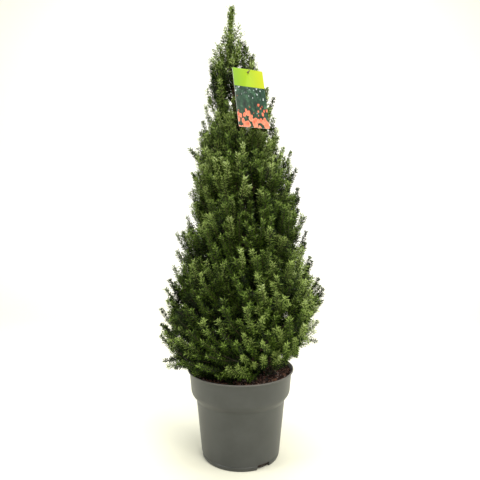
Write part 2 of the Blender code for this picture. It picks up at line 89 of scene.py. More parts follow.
def linear(code: str) -> tuple[float, float, float, float]:
    """Turn an sRGB hex colour into the linear colour that shaders take.

    Args:
        code: Six hex digits after a #.

    Returns:
        Red, green, blue and an alpha of 1.
    """
    channels = []
    for start in (1, 3, 5):
        value = int(code[start : start + 2], 16) / 255
        channels.append(value / 12.92 if value <= 0.04045 else ((value + 0.055) / 1.055) ** 2.4)
    return (*channels, 1.0)


def feed(node: bpy.types.Node, inputs: dict[int | str, object]) -> None:
    """Give a node's inputs their values, or link them to what feeds them.

    Args:
        node: The node.
        inputs: For each input's name or number a value, a socket, or a node whose first output
            in use is meant.
    """
    for key, value in inputs.items():
        if isinstance(value, bpy.types.Node):
            value = next(socket for socket in value.outputs if socket.enabled)
        if isinstance(value, bpy.types.NodeSocket):
            node.id_data.links.new(value, node.inputs[key])
        else:
            node.inputs[key].default_value = value


def add_node(
    tree: bpy.types.NodeTree,
    kind: str,
    inputs: dict[int | str, object] | None = None,
    stops: Stops = (),
    **settings: object,
) -> bpy.types.Node:
    """Add one node to a tree, with its settings, values and links.

    Args:
        tree: A shader or geometry tree.
        kind: Blender's name for the kind of node.
        inputs: What its inputs are fed with.
        stops: Positions from 0 to 1 with their sRGB hex colours, for a colour ramp.
        settings: Properties of the node itself.

    Returns:
        The new node.
    """
    node = tree.nodes.new(kind)
    for name, value in settings.items():
        setattr(node, name, value)
    feed(node, inputs or {})
    for index, (position, colour) in enumerate(stops):
        elements = node.color_ramp.elements
        element = elements[index] if index < len(elements) else elements.new(position)
        element.position = position
        element.color = linear(colour)
    return node


def principled(
    name: str, colour: str, **sockets: float
) -> tuple[bpy.types.Material, bpy.types.Node, bpy.types.NodeSocket]:
    """Start a material on the Principled shader.

    Args:
        name: The finish's name.
        colour: Its base colour, sRGB hex.
        sockets: Values for the shader's own sockets, each named in lower case with underscores.

    Returns:
        The material, its shader node and the Object coordinates' socket.
    """
    material = bpy.data.materials.new(name)
    material.use_nodes = True
    material.diffuse_color = linear(colour)
    shader = material.node_tree.nodes["Principled BSDF"]
    labels = {"roughness": "Roughness", "ior": "IOR", "specular": "Specular IOR Level"}
    feed(shader, {"Base Color": linear(colour)} | {labels[k]: v for k, v in sockets.items()})
    place = add_node(material.node_tree, "ShaderNodeTexCoord").outputs["Object"]
    return material, shader, place


class CopyTree:
    """A geometry node tree with named inputs, which sets copies of one shape on points."""

    def __init__(self, name: str, kinds: dict[str, str]) -> None:
        """Start the tree with its inputs.

        Args:
            name: The tree's name.
            kinds: The kind of socket of each named input. The first takes the geometry.
        """
        self.tree: bpy.types.NodeTree = bpy.data.node_groups.new(name, "GeometryNodeTree")
        add = self.tree.interface.new_socket
        add("Geometry", in_out="OUTPUT", socket_type="NodeSocketGeometry")
        self.sockets: dict[str, str] = {
            label: add(label, in_out="INPUT", socket_type=f"NodeSocket{kind}").identifier
            for label, kind in kinds.items()
        }
        self.given = add_node(self.tree, "NodeGroupInput").outputs

    def end(self, shape: str, points: object, turn: object, size: object) -> None:
        """Set the copies, make them real and give them their finish.

        Args:
            shape: The input that holds the copied object.
            points: The node that gives the points.
            turn: The node that gives each copy's rotation.
            size: The node that gives each copy's scale.
        """
        tree, given = self.tree, self.given
        copied = add_node(tree, "GeometryNodeObjectInfo", {"Object": given[shape]})
        inputs = {"Points": points, "Instance": copied.outputs["Geometry"]}
        inputs |= {"Rotation": turn, "Scale": size}
        placed = add_node(tree, "GeometryNodeInstanceOnPoints", inputs)
        real = add_node(tree, "GeometryNodeRealizeInstances", {"Geometry": placed})
        inputs = {"Geometry": real, "Material": given["Finish"]}
        add_node(tree, "NodeGroupOutput", {0: add_node(tree, "GeometryNodeSetMaterial", inputs)})

    def run(self, item: bpy.types.Object, name: str, values: dict[str, object]) -> bpy.types.Object:
        """Run the tree on an object, which is used up.

        Args:
            item: The object that gives the geometry.
            name: The new piece's name.
            values: The value of each other input.

        Returns:
            The result as a plain mesh.
        """
        modifier = item.modifiers.new(name, "NODES")
        modifier.node_group = self.tree
        for label, value in values.items():
            modifier[self.sockets[label]] = value
        return plain_mesh(item, name)


# ---------------------------------------------------------------- finishes


@dataclass(frozen=True)
class MouldedPolypropylene:
    """Recycled grey polypropylene, injection moulded: an even satin with faint flow clouds."""

    name: str = "injection_moulded_polypropylene"
    colour: str = "#373938"
    pale: str = "#414342"
    # The painted highlight on the lip's crown.
    painted_rim_highlight: str = "#73706B"
    roughness: float = 0.38
    cloud_mm: float = 55.0
    grain_mm: float = 1.6  # the mould's spark texture, drawn coarser than life so that it shows
    # Heights over which the lip's painted highlight fades in.
    painted_highlight_band: tuple[float, float] = (0.2180, 0.2196)

    def material(self) -> bpy.types.Material:
        """Build the pot's finish.

        Returns:
            The material.
        """
        material, shader, place = principled(
            self.name, self.colour, roughness=self.roughness, ior=1.49
        )
        tree = material.node_tree
        # Slow clouds where the melt met, a little paler and duller than the rest.
        slow = {"Vector": place, "Scale": 1000 / self.cloud_mm, "Detail": 3.0, "Roughness": 0.55}
        clouds = add_node(tree, "ShaderNodeTexNoise", slow)
        tones = ((0.35, self.colour), (0.75, self.pale))
        colour = add_node(tree, "ShaderNodeValToRGB", {"Fac": clouds}, tones)
        span = {"Value": clouds, "To Min": self.roughness - 0.05, "To Max": 0.50}
        gloss = add_node(tree, "ShaderNodeMapRange", span)
        # The lip's crown is painted paler: a painted highlight along the rim's top edge.
        height = add_node(tree, "ShaderNodeSeparateXYZ", {0: place}).outputs["Z"]
        low, high = self.painted_highlight_band
        span = {"Value": height, "From Min": low, "From Max": high, "To Max": 0.8}
        painted_rim_highlight = add_node(tree, "ShaderNodeMapRange", span)
        shades = {0: painted_rim_highlight, 6: colour, 7: linear(self.painted_rim_highlight)}
        rim_with_highlight = add_node(tree, "ShaderNodeMix", shades, data_type="RGBA")
        # The fine grain of the mould breaks the highlights.
        fine = {"Vector": place, "Scale": 1000 / self.grain_mm, "Detail": 2.0}
        grain = add_node(tree, "ShaderNodeTexNoise", fine)
        bumps = {"Height": grain, "Strength": 0.10, "Distance": 0.2 * MM}
        bump = add_node(tree, "ShaderNodeBump", bumps)
        feed(shader, {"Base Color": rim_with_highlight, "Roughness": gloss, "Normal": bump})
        return material


@dataclass(frozen=True)
class CompostedBark:
    """Composted bark chips, milled: matt, fibrous and damp, from near black to fox brown."""

    name: str
    dark: str
    light: str
    roughness: float = 0.86
    fibre_mm: float = 2.2

    def material(self) -> bpy.types.Material:
        """Build the finish of one kind of chip.

        Returns:
            The material.
        """
        material, shader, place = principled(
            f"milled_bark_{self.name}", self.dark, roughness=self.roughness
        )
        tree = material.node_tree
        # Fibres and torn faces differ in tone from one chip to the next, and are rough.
        fine = {"Vector": place, "Scale": 1000 / self.fibre_mm, "Detail": 4.0, "Roughness": 0.7}
        fibre = add_node(tree, "ShaderNodeTexNoise", fine)
        tones = ((0.38, self.dark), (0.66, self.light))
        colour = add_node(tree, "ShaderNodeValToRGB", {"Fac": fibre}, tones)
        bumps = {"Height": fibre, "Strength": 0.5, "Distance": 0.6 * MM}
        feed(shader, {"Base Color": colour, "Normal": add_node(tree, "ShaderNodeBump", bumps)})
        return material


@dataclass(frozen=True)
class SpruceBark:
    """Living spruce bark: thin grey-brown scales, redder in the cracks between them."""

    crack: str = "#3A2A1D"
    scale: str = "#7C6852"
    rim: str = "#A08C70"
    roughness: float = 0.82
    flake_mm: float = 5.0
    stain_mm: float = 9.0

    def material(self) -> bpy.types.Material:
        """Build the bark's finish.

        Returns:
            The material.
        """
        material, shader, place = principled(
            "scaly_spruce_bark", self.scale, roughness=self.roughness
        )
        tree = material.node_tree
        # Flakes are longer along the stem than across it, with pale rims and dark cracks.
        stretch = add_node(tree, "ShaderNodeMapping", {"Vector": place, "Scale": (1.0, 1.0, 0.45)})
        scaly = {"Vector": stretch, "Scale": 1000 / self.flake_mm, "Randomness": 1.0}
        flakes = add_node(tree, "ShaderNodeTexVoronoi", scaly, feature="F1")
        patchy = {"Vector": place, "Scale": 1000 / self.stain_mm, "Detail": 4.0, "Roughness": 0.65}
        tone = add_node(tree, "ShaderNodeTexNoise", patchy)
        sum_of = {0: flakes, 1: 0.45, 2: tone}
        blend = add_node(tree, "ShaderNodeMath", sum_of, operation="MULTIPLY_ADD")
        tones = ((0.40, self.rim), (0.62, self.scale), (0.92, self.crack))
        colour = add_node(tree, "ShaderNodeValToRGB", {"Fac": blend}, tones)
        bumps = {"Height": blend, "Strength": 0.6, "Distance": 0.5 * MM}
        bump = add_node(tree, "ShaderNodeBump", bumps, invert=True)
        feed(shader, {"Base Color": colour, "Normal": bump})
        return material


@dataclass(frozen=True)
class TwigBark:
    """Bark of the young twigs: smooth and brown, paler where the last buds' scales were."""

    colour: str = "#2A2312"
    pale: str = "#4A3A22"
    roughness: float = 0.7
    patch_mm: float = 14.0

    def material(self) -> bpy.types.Material:
        """Build the twigs' finish.

        Returns:
            The material.
        """
        material, shader, place = principled(
            "young_twig_bark", self.colour, roughness=self.roughness
        )
        tree = material.node_tree
        # Older and younger bark take turns along a twig.
        slow = {"Vector": place, "Scale": 1000 / self.patch_mm, "Detail": 2.0}
        patches = add_node(tree, "ShaderNodeTexNoise", slow)
        tones = ((0.45, self.colour), (0.70, self.pale))
        colour = add_node(tree, "ShaderNodeValToRGB", {"Fac": patches}, tones)
        feed(shader, {"Base Color": colour})
        return material


class Tint(Enum):
    """The needles' tones, dealt out by spray: darker inside, for old needles and for painted shade;
    lighter at the tips, for fresh growth and for painted highlights.
    """

    SHADE = "#0B1903"
    DEEP = "#24360C"
    BLUE = "#3B5024"
    OLIVE = "#4A611A"
    FRESH = "#7F9449"
    SPRING = "#9AAC60"
    PALE = "#B4C487"

    def older(self) -> Tint:
        """The darker tone that is mixed in among its needles."""
        steps = {Tint.SPRING: Tint.OLIVE, Tint.FRESH: Tint.DEEP}
        return steps.get(self, Tint.SHADE)

    def younger(self) -> Tint:
        """The lighter tone of the needles round its bud: partly fresher needles, partly a painted
        highlight.
        """
        order = (Tint.DEEP, Tint.OLIVE, Tint.FRESH, Tint.SPRING, Tint.PALE)
        return dict(zip(order, order[1:])).get(self, self)


@dataclass(frozen=True)
class NeedleWax:
    """The needles' waxed skin: a soft sheen on a plain green."""

    tint: Tint
    roughness: float = 0.55

    def material(self) -> bpy.types.Material:
        """Build the finish of one tint of needle, a plain colour with a thin wax sheen."""
        name = f"waxed_needle_{self.tint.name.lower()}"
        return principled(name, self.tint.value, roughness=self.roughness, specular=0.15)[0]


@dataclass(frozen=True)
class PrintedFilm:
    """Offset print on glossy plastic film: a lime header over a flower border."""

    header_share: float = 0.310
    header: Stops = ((0.0, "#6C9416"), (0.45, "#8AA818"), (0.95, "#A6AE1C"))
    hedge: Stops = ((0.36, "#101E17"), (0.56, "#24402E"), (0.74, "#567E5C"))
    petal: Stops = ((0.05, "#9C3A24"), (0.25, "#CC6446"), (0.60, "#D98468"))
    sky: str = "#CFD9DC"
    roughness: float = 0.4

    def material(self) -> bpy.types.Material:
        """Build the printed face, in the label's own UV map.

        Returns:
            The material.
        """
        material, shader, _ = principled(
            "offset_printed_film", self.header[0][1], roughness=self.roughness, specular=0.15
        )
        tree = material.node_tree
        sheet = add_node(tree, "ShaderNodeUVMap", uv_map="print")
        across, up, _ = add_node(tree, "ShaderNodeSeparateXYZ", {"Vector": sheet}).outputs
        header = add_node(tree, "ShaderNodeValToRGB", {"Fac": across}, self.header)
        # A leafy ground: blurred foliage in three greens.
        leafy = {"Vector": sheet, "Scale": 9.0, "Detail": 5.0, "Roughness": 0.7}
        leaves = add_node(tree, "ShaderNodeTexNoise", leafy)
        ground = add_node(tree, "ShaderNodeValToRGB", {"Fac": leaves}, self.hedge)
        # Round blooms crowd the foot of the picture and thin out upwards.
        spots = {"Vector": sheet, "Scale": 11.0, "Randomness": 0.8}
        blooms = add_node(tree, "ShaderNodeTexVoronoi", spots)
        wander = add_node(tree, "ShaderNodeTexNoise", {"Vector": sheet, "Scale": 3.2})
        rise = add_node(
            tree, "ShaderNodeMath", {0: wander, 1: -0.9, 2: up}, operation="MULTIPLY_ADD"
        )
        span = {"Value": rise, "From Min": -0.36, "From Max": 0.12}
        crowd = add_node(tree, "ShaderNodeMapRange", span)
        reach = add_node(
            tree, "ShaderNodeMath", {0: crowd, 1: -0.80, 2: 0.70}, operation="MULTIPLY_ADD"
        )
        inside = add_node(tree, "ShaderNodeMath", {0: blooms, 1: reach}, operation="LESS_THAN")
        petals = add_node(tree, "ShaderNodeValToRGB", {"Fac": blooms}, self.petal)
        shades = {0: inside, 6: ground, 7: petals}
        planted = add_node(tree, "ShaderNodeMix", shades, data_type="RGBA")
        # Pale light falls through a strip of leaves under the header.
        leafy = {"Vector": sheet, "Scale": 13.0, "Detail": 3.0, "Roughness": 0.6}
        gaps = add_node(tree, "ShaderNodeTexNoise", leafy)
        span = {"Value": up, "From Min": 0.40, "From Max": 0.72, "To Max": 0.16}
        lift = add_node(tree, "ShaderNodeMapRange", span)
        bright = add_node(tree, "ShaderNodeMath", {0: gaps, 1: lift}, operation="ADD")
        span = {"Value": bright, "From Min": 0.70, "From Max": 0.76}
        shows = add_node(tree, "ShaderNodeMapRange", span)
        shades = {0: shows, 6: planted, 7: linear(self.sky)}
        picture = add_node(tree, "ShaderNodeMix", shades, data_type="RGBA")
        edge = {0: up, 1: 1.0 - self.header_share}
        above = add_node(tree, "ShaderNodeMath", edge, operation="GREATER_THAN")
        shades = {0: above, 6: picture, 7: header}
        face = add_node(tree, "ShaderNodeMix", shades, data_type="RGBA")
        # The film is not quite flat: slow waves move its highlights.
        waves = add_node(tree, "ShaderNodeTexNoise", {"Vector": sheet, "Scale": 2.0})
        bumps = {"Height": waves, "Strength": 0.25, "Distance": 2 * MM}
        feed(shader, {"Base Color": face, "Normal": add_node(tree, "ShaderNodeBump", bumps)})
        return material


@dataclass(frozen=True)
class PlainFilm:
    """The label's unprinted back and cut edges: white plastic film with a faint mottle."""

    colour: str = "#EDEEE6"
    mottle: str = "#E4E5DA"
    roughness: float = 0.35
    mottle_mm: float = 1000 / 120

    def material(self) -> bpy.types.Material:
        """Build the back's finish.

        Returns:
            The material.
        """
        material, shader, place = principled(
            "white_plastic_film", self.colour, roughness=self.roughness
        )
        tree = material.node_tree
        # The mottle keeps the white from looking like paint.
        soft = {"Vector": place, "Scale": 1000 / self.mottle_mm}
        mottle = add_node(tree, "ShaderNodeTexNoise", soft)
        tones = ((0.3, self.mottle), (0.7, self.colour))
        feed(shader, {"Base Color": add_node(tree, "ShaderNodeValToRGB", {"Fac": mottle}, tones)})
        return material


@dataclass(frozen=True)
class StudioPaper:
    """Matt background paper, plain and pale."""

    floor: str = "#E3E2D0"
    wall: str = "#F6F5EE"
    blend_height: float = 0.4

    def material(self) -> bpy.types.Material:
        """Build the stage's finish, a touch creamier on the floor than up the wall.

        Returns:
            The material.
        """
        material, shader, place = principled("background_paper", self.wall, roughness=0.95)
        tree = material.node_tree
        height = add_node(tree, "ShaderNodeSeparateXYZ", {0: place}).outputs["Z"]
        tones = ((0.0, self.floor), (self.blend_height, self.wall))
        feed(shader, {"Base Color": add_node(tree, "ShaderNodeValToRGB", {"Fac": height}, tones)})
        return material


# ---------------------------------------------------------------- mesh helpers


@dataclass
class MeshBuilder:
    """Gathers points and faces from many small shapes into one mesh."""

    points: list[Vector] = field(default_factory=list)
    faces: list[tuple[int, ...]] = field(default_factory=list)

    def add_tube(
        self,
        line: Sequence[Vector],
        radii: Sequence[float],
        sides: int,
        relief: Relief | None = None,
    ) -> None:
        """Add a closed tube that tapers along a line.

        Args:
            line: The points of its middle.
            radii: The radius at each of them.
            sides: Corners of its section.
            relief: Gives how far a surface point moves outwards, from its place and the radius.
        """
        start = len(self.points)
        side = Vector((1.0, 0.0, 0.0))
        for index, (place, radius) in enumerate(zip(line, radii)):
            ahead = line[min(index + 1, len(line) - 1)] - line[max(index - 1, 0)]
            axis = ahead.normalized()
            side = (side - axis * side.dot(axis)).normalized()
            across = axis.cross(side)
            for corner in range(sides):
                angle = math.tau * corner / sides
                out = side * math.cos(angle) + across * math.sin(angle)
                swell = relief(place + out * radius, radius) if relief else 0.0
                self.points.append(place + out * (radius + swell))
        self.add_rings(start, len(line), sides)

    def add_rings(self, start: int, rings: int, sides: int) -> None:
        """Skin rings of points that are already there, and close both ends.

        Args:
            start: Number of the first ring's first point.
            rings: How many rings there are.
            sides: Points of each ring.
        """
        for base in range(start, start + (rings - 1) * sides, sides):
            for corner in range(sides):
                after = base + (corner + 1) % sides
                self.faces.append((base + corner, after, sides + after, base + sides + corner))
        last = start + (rings - 1) * sides
        self.faces.append(tuple(start + corner for corner in reversed(range(sides))))
        self.faces.append(tuple(last + corner for corner in range(sides)))

    def add_limb(
        self, knots: Sequence[Sequence[float]], step: float, sides: int, relief: Relief
    ) -> None:
        """Add a tube that bends smoothly through its knots.

        Args:
            knots: The x, y, z and radius of each.
            step: About how far apart its rings lie.
            sides: Corners of its section.
            relief: Gives how far a surface point moves outwards.
        """
        rows = smooth_line(knots, step)
        self.add_tube([Vector(row[:3]) for row in rows], [row[3] for row in rows], sides, relief)

    def add_turned(self, profile: Sequence[tuple[float, float]], steps: int) -> None:
        """Add a body turned about +Z, closed by a point on the axis at each end of its profile.

        Args:
            profile: (radius, height) points, listed down its outside; first and last on the axis.
            steps: Corners of its rings.
        """
        start = len(self.points)
        self.points.append(Vector((0.0, 0.0, profile[0][1])))
        for radius, height in profile[1:-1]:
            for step in range(steps):
                self.points.append(polar(math.tau * step / steps, radius, height))
        self.points.append(Vector((0.0, 0.0, profile[-1][1])))
        end = len(self.points) - 1
        for step in range(steps):
            after = (step + 1) % steps
            self.faces.append((start, start + 1 + step, start + 1 + after))
            for ring in range(len(profile) - 3):
                upper = start + 1 + ring * steps
                lower = upper + steps
                self.faces.append((upper + step, lower + step, lower + after, upper + after))
            self.faces.append((end, end - steps + after, end - steps + step))

    def build(
        self, name: str, materials: Sequence[bpy.types.Material], crease: float
    ) -> bpy.types.Object:
        """Make one object of all that was added.

        Args:
            name: The piece's name.
            materials: Its finishes; the first covers every face.
            crease: Edges flatter than this many degrees are shaded smooth.

        Returns:
            The object, at the origin.
        """
        mesh = bpy.data.meshes.new(name)
        mesh.from_pydata(self.points, [], self.faces)
        for material in materials:
            mesh.materials.append(material)
        mesh.shade_smooth()
        mesh.set_sharp_from_angle(angle=math.radians(crease))
        return add_object(name, mesh)


def polar(azimuth: float, radius: float, height: float) -> Vector:
    """The point at an azimuth, a distance from the axis and a height."""
    return Vector((radius * math.cos(azimuth), radius * math.sin(azimuth), height))


def add_object(name: str, data: bpy.types.ID) -> bpy.types.Object:
    """Put an object of a mesh, curve, light or camera into the scene.

    Args:
        name: The object's name.
        data: What it shows.

    Returns:
        The object, at the origin.
    """
    item = bpy.data.objects.new(name, data)
    bpy.context.scene.collection.objects.link(item)
    return item


def plain_mesh(item: bpy.types.Object, name: str) -> bpy.types.Object:
    """Turn an object with live modifiers into a plain mesh object and remove the first.

    Args:
        item: The object to evaluate.
        name: The new piece's name.

    Returns:
        The plain piece, at the origin.
    """
    evaluated = item.evaluated_get(bpy.context.evaluated_depsgraph_get())
    mesh = bpy.data.meshes.new_from_object(evaluated)
    mesh.name = name
    bpy.data.objects.remove(item, do_unlink=True)
    return add_object(name, mesh)


def recalculate(mesh: bpy.types.Mesh) -> None:
    """Merge doubles and turn every face of a closed mesh outwards.

    Args:
        mesh: The mesh to change.
    """
    surface = bmesh.new()
    surface.from_mesh(mesh)
    bmesh.ops.remove_doubles(surface, verts=surface.verts, dist=MERGE)
    bmesh.ops.recalc_face_normals(surface, faces=surface.faces)
    surface.to_mesh(mesh)
    surface.free()


def settle(piece: bpy.types.Object, nodes: Sequence[str] = ()) -> bpy.types.Object:
    """Hand a finished piece to the frame.

    Args:
        piece: The piece, with its place in its mesh.
        nodes: The frame's nodes that it stands for.

    Returns:
        The same piece.
    """
    if nodes:
        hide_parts(*nodes)
    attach(piece, BODY)
    log.info("%s: %d faces", piece.name, len(piece.data.polygons))
    return piece


def smooth_line(knots: Sequence[Sequence[float]], step: float) -> list[list[float]]:
    """Run a Catmull-Rom curve through rows of numbers.

    Args:
        knots: Rows whose first three numbers are a place; the rest ride along.
        step: About how far apart the new rows lie.

    Returns:
        The new rows, ends included.
    """
    rows: list[list[float]] = []
    padded = [knots[0], *knots, knots[-1]]
    for before, low, high, after in zip(padded, padded[1:], padded[2:], padded[3:]):
        count = max(1, round(math.dist(low[:3], high[:3]) / step))
        for t in (part / count for part in range(count)):
            row = []
            for a, b, c, d in zip(before, low, high, after):
                value = 2 * b + (c - a) * t + (2 * a - 5 * b + 4 * c - d) * t * t
                row.append(0.5 * (value + (3 * b - a - 3 * c + d) * t**3))
            rows.append(row)
    rows.append(list(knots[-1]))
    return rows


def bent(root: Vector, knee: Vector, end: Vector, steps: int) -> list[Vector]:
    """Bend a line from its root towards a knee and on to its end.

    Args:
        root: Where it starts.
        knee: The point that it bends towards.
        end: Where it ends.
        steps: Number of stretches.

    Returns:
        The points of the line.
    """
    shares = (i / steps for i in range(steps + 1))
    return [root.lerp(knee, share).lerp(knee.lerp(end, share), share) for share in shares]


def interpolate(rows: Sequence[Sequence[float]], value: float, column: int) -> float:
    """Read one column of rows that are sorted by their first value.

    Args:
        rows: The rows.
        value: The first value to read at. Past either end, the last row there holds.
        column: The column's number.

    Returns:
        The column's value there.
    """
    if value <= rows[0][0]:
        return rows[0][column]
    for low, high in zip(rows, rows[1:]):
        if value <= high[0]:
            share = (value - low[0]) / (high[0] - low[0])
            return low[column] + share * (high[column] - low[column])
    return rows[-1][column]


# ---------------------------------------------------------------- pot and soil


@dataclass(frozen=True)
class NurseryPot:
    """The moulded pot: a tapering wall, a collar under a thin flared lip, and a notched foot."""

    wall: float = 2.2 * MM
    floor: float = 2.5 * MM
    # Height and outer radius, in millimetres, of the foot with its groove and of the shoulder.
    foot: tuple[tuple[float, float], ...] = (
        (0.0, 95.5), (0.8, 96.6), (3.0, 97.9), (7.0, 98.9), (10.4, 99.4),
        (11.0, 98.8), (12.2, 98.8), (12.8, 99.8), (14.7, 100.0),
    )
    shoulder: tuple[tuple[float, float], ...] = (
        (143.2, 113.4), (145.0, 113.9), (147.0, 115.2), (151.0, 118.0),
        (156.0, 121.9), (160.0, 124.6), (164.0, 126.1), (169.0, 127.0),
    )
    collar: tuple[float, float] = (214.5, 131.3)
    lip_radius: float = 136.4 * MM
    lip_height: float = 220.5 * MM
    # How far in from the lip's rim and down from its top its section runs, in millimetres.
    lip: tuple[tuple[float, float], ...] = (
        (4.2, 1.6), (3.0, 0.3), (2.2, 0.0), (1.0, 0.2),
        (0.2, 0.9), (0.0, 1.8), (0.3, 3.0), (1.6, 3.7),
    )
    # From the lip's underside to the collar: how far out from it, and the height, in millimetres.
    throat: tuple[tuple[float, float], ...] = ((1.2, 216.1), (0.3, 214.7), (-0.1, 213.3))
    painted_shade_foot: float = 150 * MM  # above this the wall's inner side is painted darker: painted shade
    notch_azimuths: tuple[float, ...] = (-55.5, 64.5, 184.5)
    notch: tuple[float, float, float] = (0.034, 0.039, 0.012)  # depth, width, height
    steps: int = 160
    crease: float = 32.0

    def outside(self) -> list[tuple[float, float]]:
        """Outer (height, radius) points of the wall, from the foot to under the lip."""
        return [(z * MM, r * MM) for z, r in (*self.foot, *self.shoulder, self.collar)]

    def inner_radius(self, height: float) -> float:
        """The radius of the wall's inner side at a height."""
        return interpolate([(z, radius - self.wall) for z, radius in self.outside()], height, 1)

    def profile(self) -> list[tuple[float, float]]:
        """Trace the section, up the inside, over the lip and down the outside.

        Returns:
            (radius, height) points from the inner floor's centre to the underside's.
        """
        outside = self.outside()
        height, radius = outside[-1]
        foot = self.inner_radius(self.floor)
        points = [(0.0, self.floor), (0.5 * foot, self.floor), (foot - 0.002, self.floor)]
        heights = (5.2 * MM, 14.7 * MM, *(z * MM for z, _ in self.shoulder))
        points += [(self.inner_radius(z), z) for z in heights]
        points.append((radius - self.wall, height))
        points += [(self.lip_radius - r * MM, self.lip_height - z * MM) for r, z in self.lip]
        points += [(radius + r * MM, z * MM) for r, z in self.throat]
        points += [(r, z) for z, r in reversed(outside[:-1])]
        return [*points, (0.5 * outside[0][1], 0.0), (0.0, 0.0)]

    def notches(self) -> bpy.types.Object:
        """Shape the tool that cuts the foot's notches, one rounded block for each.

        Returns:
            The tool.
        """
        blocks = MeshBuilder()
        depth, width, height = self.notch
        section = ((-0.5, -1.0), (0.5, -1.0), (0.46, 0.85), (0.4, 1.0), (-0.4, 1.0), (-0.46, 0.85))
        for degrees in self.notch_azimuths:
            turn = Matrix.Rotation(math.radians(degrees), 4, "Z")
            start = len(blocks.points)
            for x in (-0.5, 0.5):
                out = self.foot[-1][1] * MM + x * depth
                blocks.points += [turn @ Vector((out, y * width, z * height)) for y, z in section]
            blocks.add_rings(start, 2, len(section))
        tool = blocks.build("notch_tool", [], self.crease)
        recalculate(tool.data)
        return tool

    def build(self) -> bpy.types.Object:
        """Turn the pot, paint shade on its wall's inner side, cut the notches of its foot and dress
        it.

        Returns:
            The pot's piece.
        """
        builder = MeshBuilder()
        builder.add_turned(self.profile(), self.steps)
        # Dark browns of the painted shade inside the rim, with a paler painted highlight at the
        # lip.
        painted_shade_browns = ("#14110E", "#1D1813", "#3A3530")
        inner_shade_finish = MouldedPolypropylene("soil_stained_polypropylene", *painted_shade_browns, 0.6)
        finishes = [MouldedPolypropylene().material(), inner_shade_finish.material()]
        pot = builder.build("pot_moulded", finishes, self.crease)
        recalculate(pot.data)
        # The wall's inner side above the soil takes a darker finish: painted shade inside the rim.
        for face in pot.data.polygons:
            inwards = face.normal.xy.dot(face.center.xy) < 0
            face.material_index = int(inwards and self.painted_shade_foot < face.center.z)
        tool = self.notches()
        cut = pot.modifiers.new("Notches", "BOOLEAN")
        cut.operation = "DIFFERENCE"
        cut.solver = "EXACT"
        cut.object = tool
        pot = plain_mesh(pot, "pot_moulded")
        bpy.data.objects.remove(tool, do_unlink=True)
        pot.data.set_sharp_from_angle(angle=math.radians(self.crease))
        return settle(pot, ["pot"])


@dataclass(frozen=True)
class ChipScatter:
    """Geometry Nodes that strew chips over the upward faces of a surface."""

    spread: float = 40000.0  # chips on each square metre
    tilt: float = math.radians(52.0)
    level: float = 0.6  # faces whose normal rises less than this stay bare

    def copies(self) -> CopyTree:
        """Build the scatter.

        Returns:
            Its tree.
        """
        scatter = CopyTree(
            "chip_scatter",
            {"Surface": "Geometry", "Chip": "Object", "Chips per square metre": "Float"}
            | {"Tilt": "Float", "Smallest": "Vector", "Largest": "Vector"}
            | {"Seed": "Int", "Finish": "Material"},
        )
        tree, given = scatter.tree, scatter.given
        seed, tilt = {"Seed": given["Seed"]}, given["Tilt"]
        normal = add_node(tree, "GeometryNodeInputNormal").outputs[0]
        rise = add_node(tree, "ShaderNodeSeparateXYZ", {0: normal}).outputs["Z"]
        limits = {0: rise, 1: self.level}
        up = add_node(tree, "FunctionNodeCompare", limits, operation="GREATER_THAN")
        inputs = {"Mesh": given["Surface"], "Selection": up}
        inputs |= {"Density": given["Chips per square metre"]}
        strewn = add_node(tree, "GeometryNodeDistributePointsOnFaces", inputs | seed)
        lean = add_node(tree, "ShaderNodeMath", {0: tilt, 1: -1.0}, operation="MULTIPLY")
        low = add_node(tree, "ShaderNodeCombineXYZ", {0: lean, 1: lean, 2: 0.0})
        high = add_node(tree, "ShaderNodeCombineXYZ", {0: tilt, 1: tilt, 2: math.tau})
        turn, size = (
            add_node(tree, "FunctionNodeRandomValue", span | seed, data_type="FLOAT_VECTOR")
            for span in ({0: low, 1: high}, {0: given["Smallest"], 1: given["Largest"]})
        )
        scatter.end("Chip", strewn, turn, size)
        return scatter


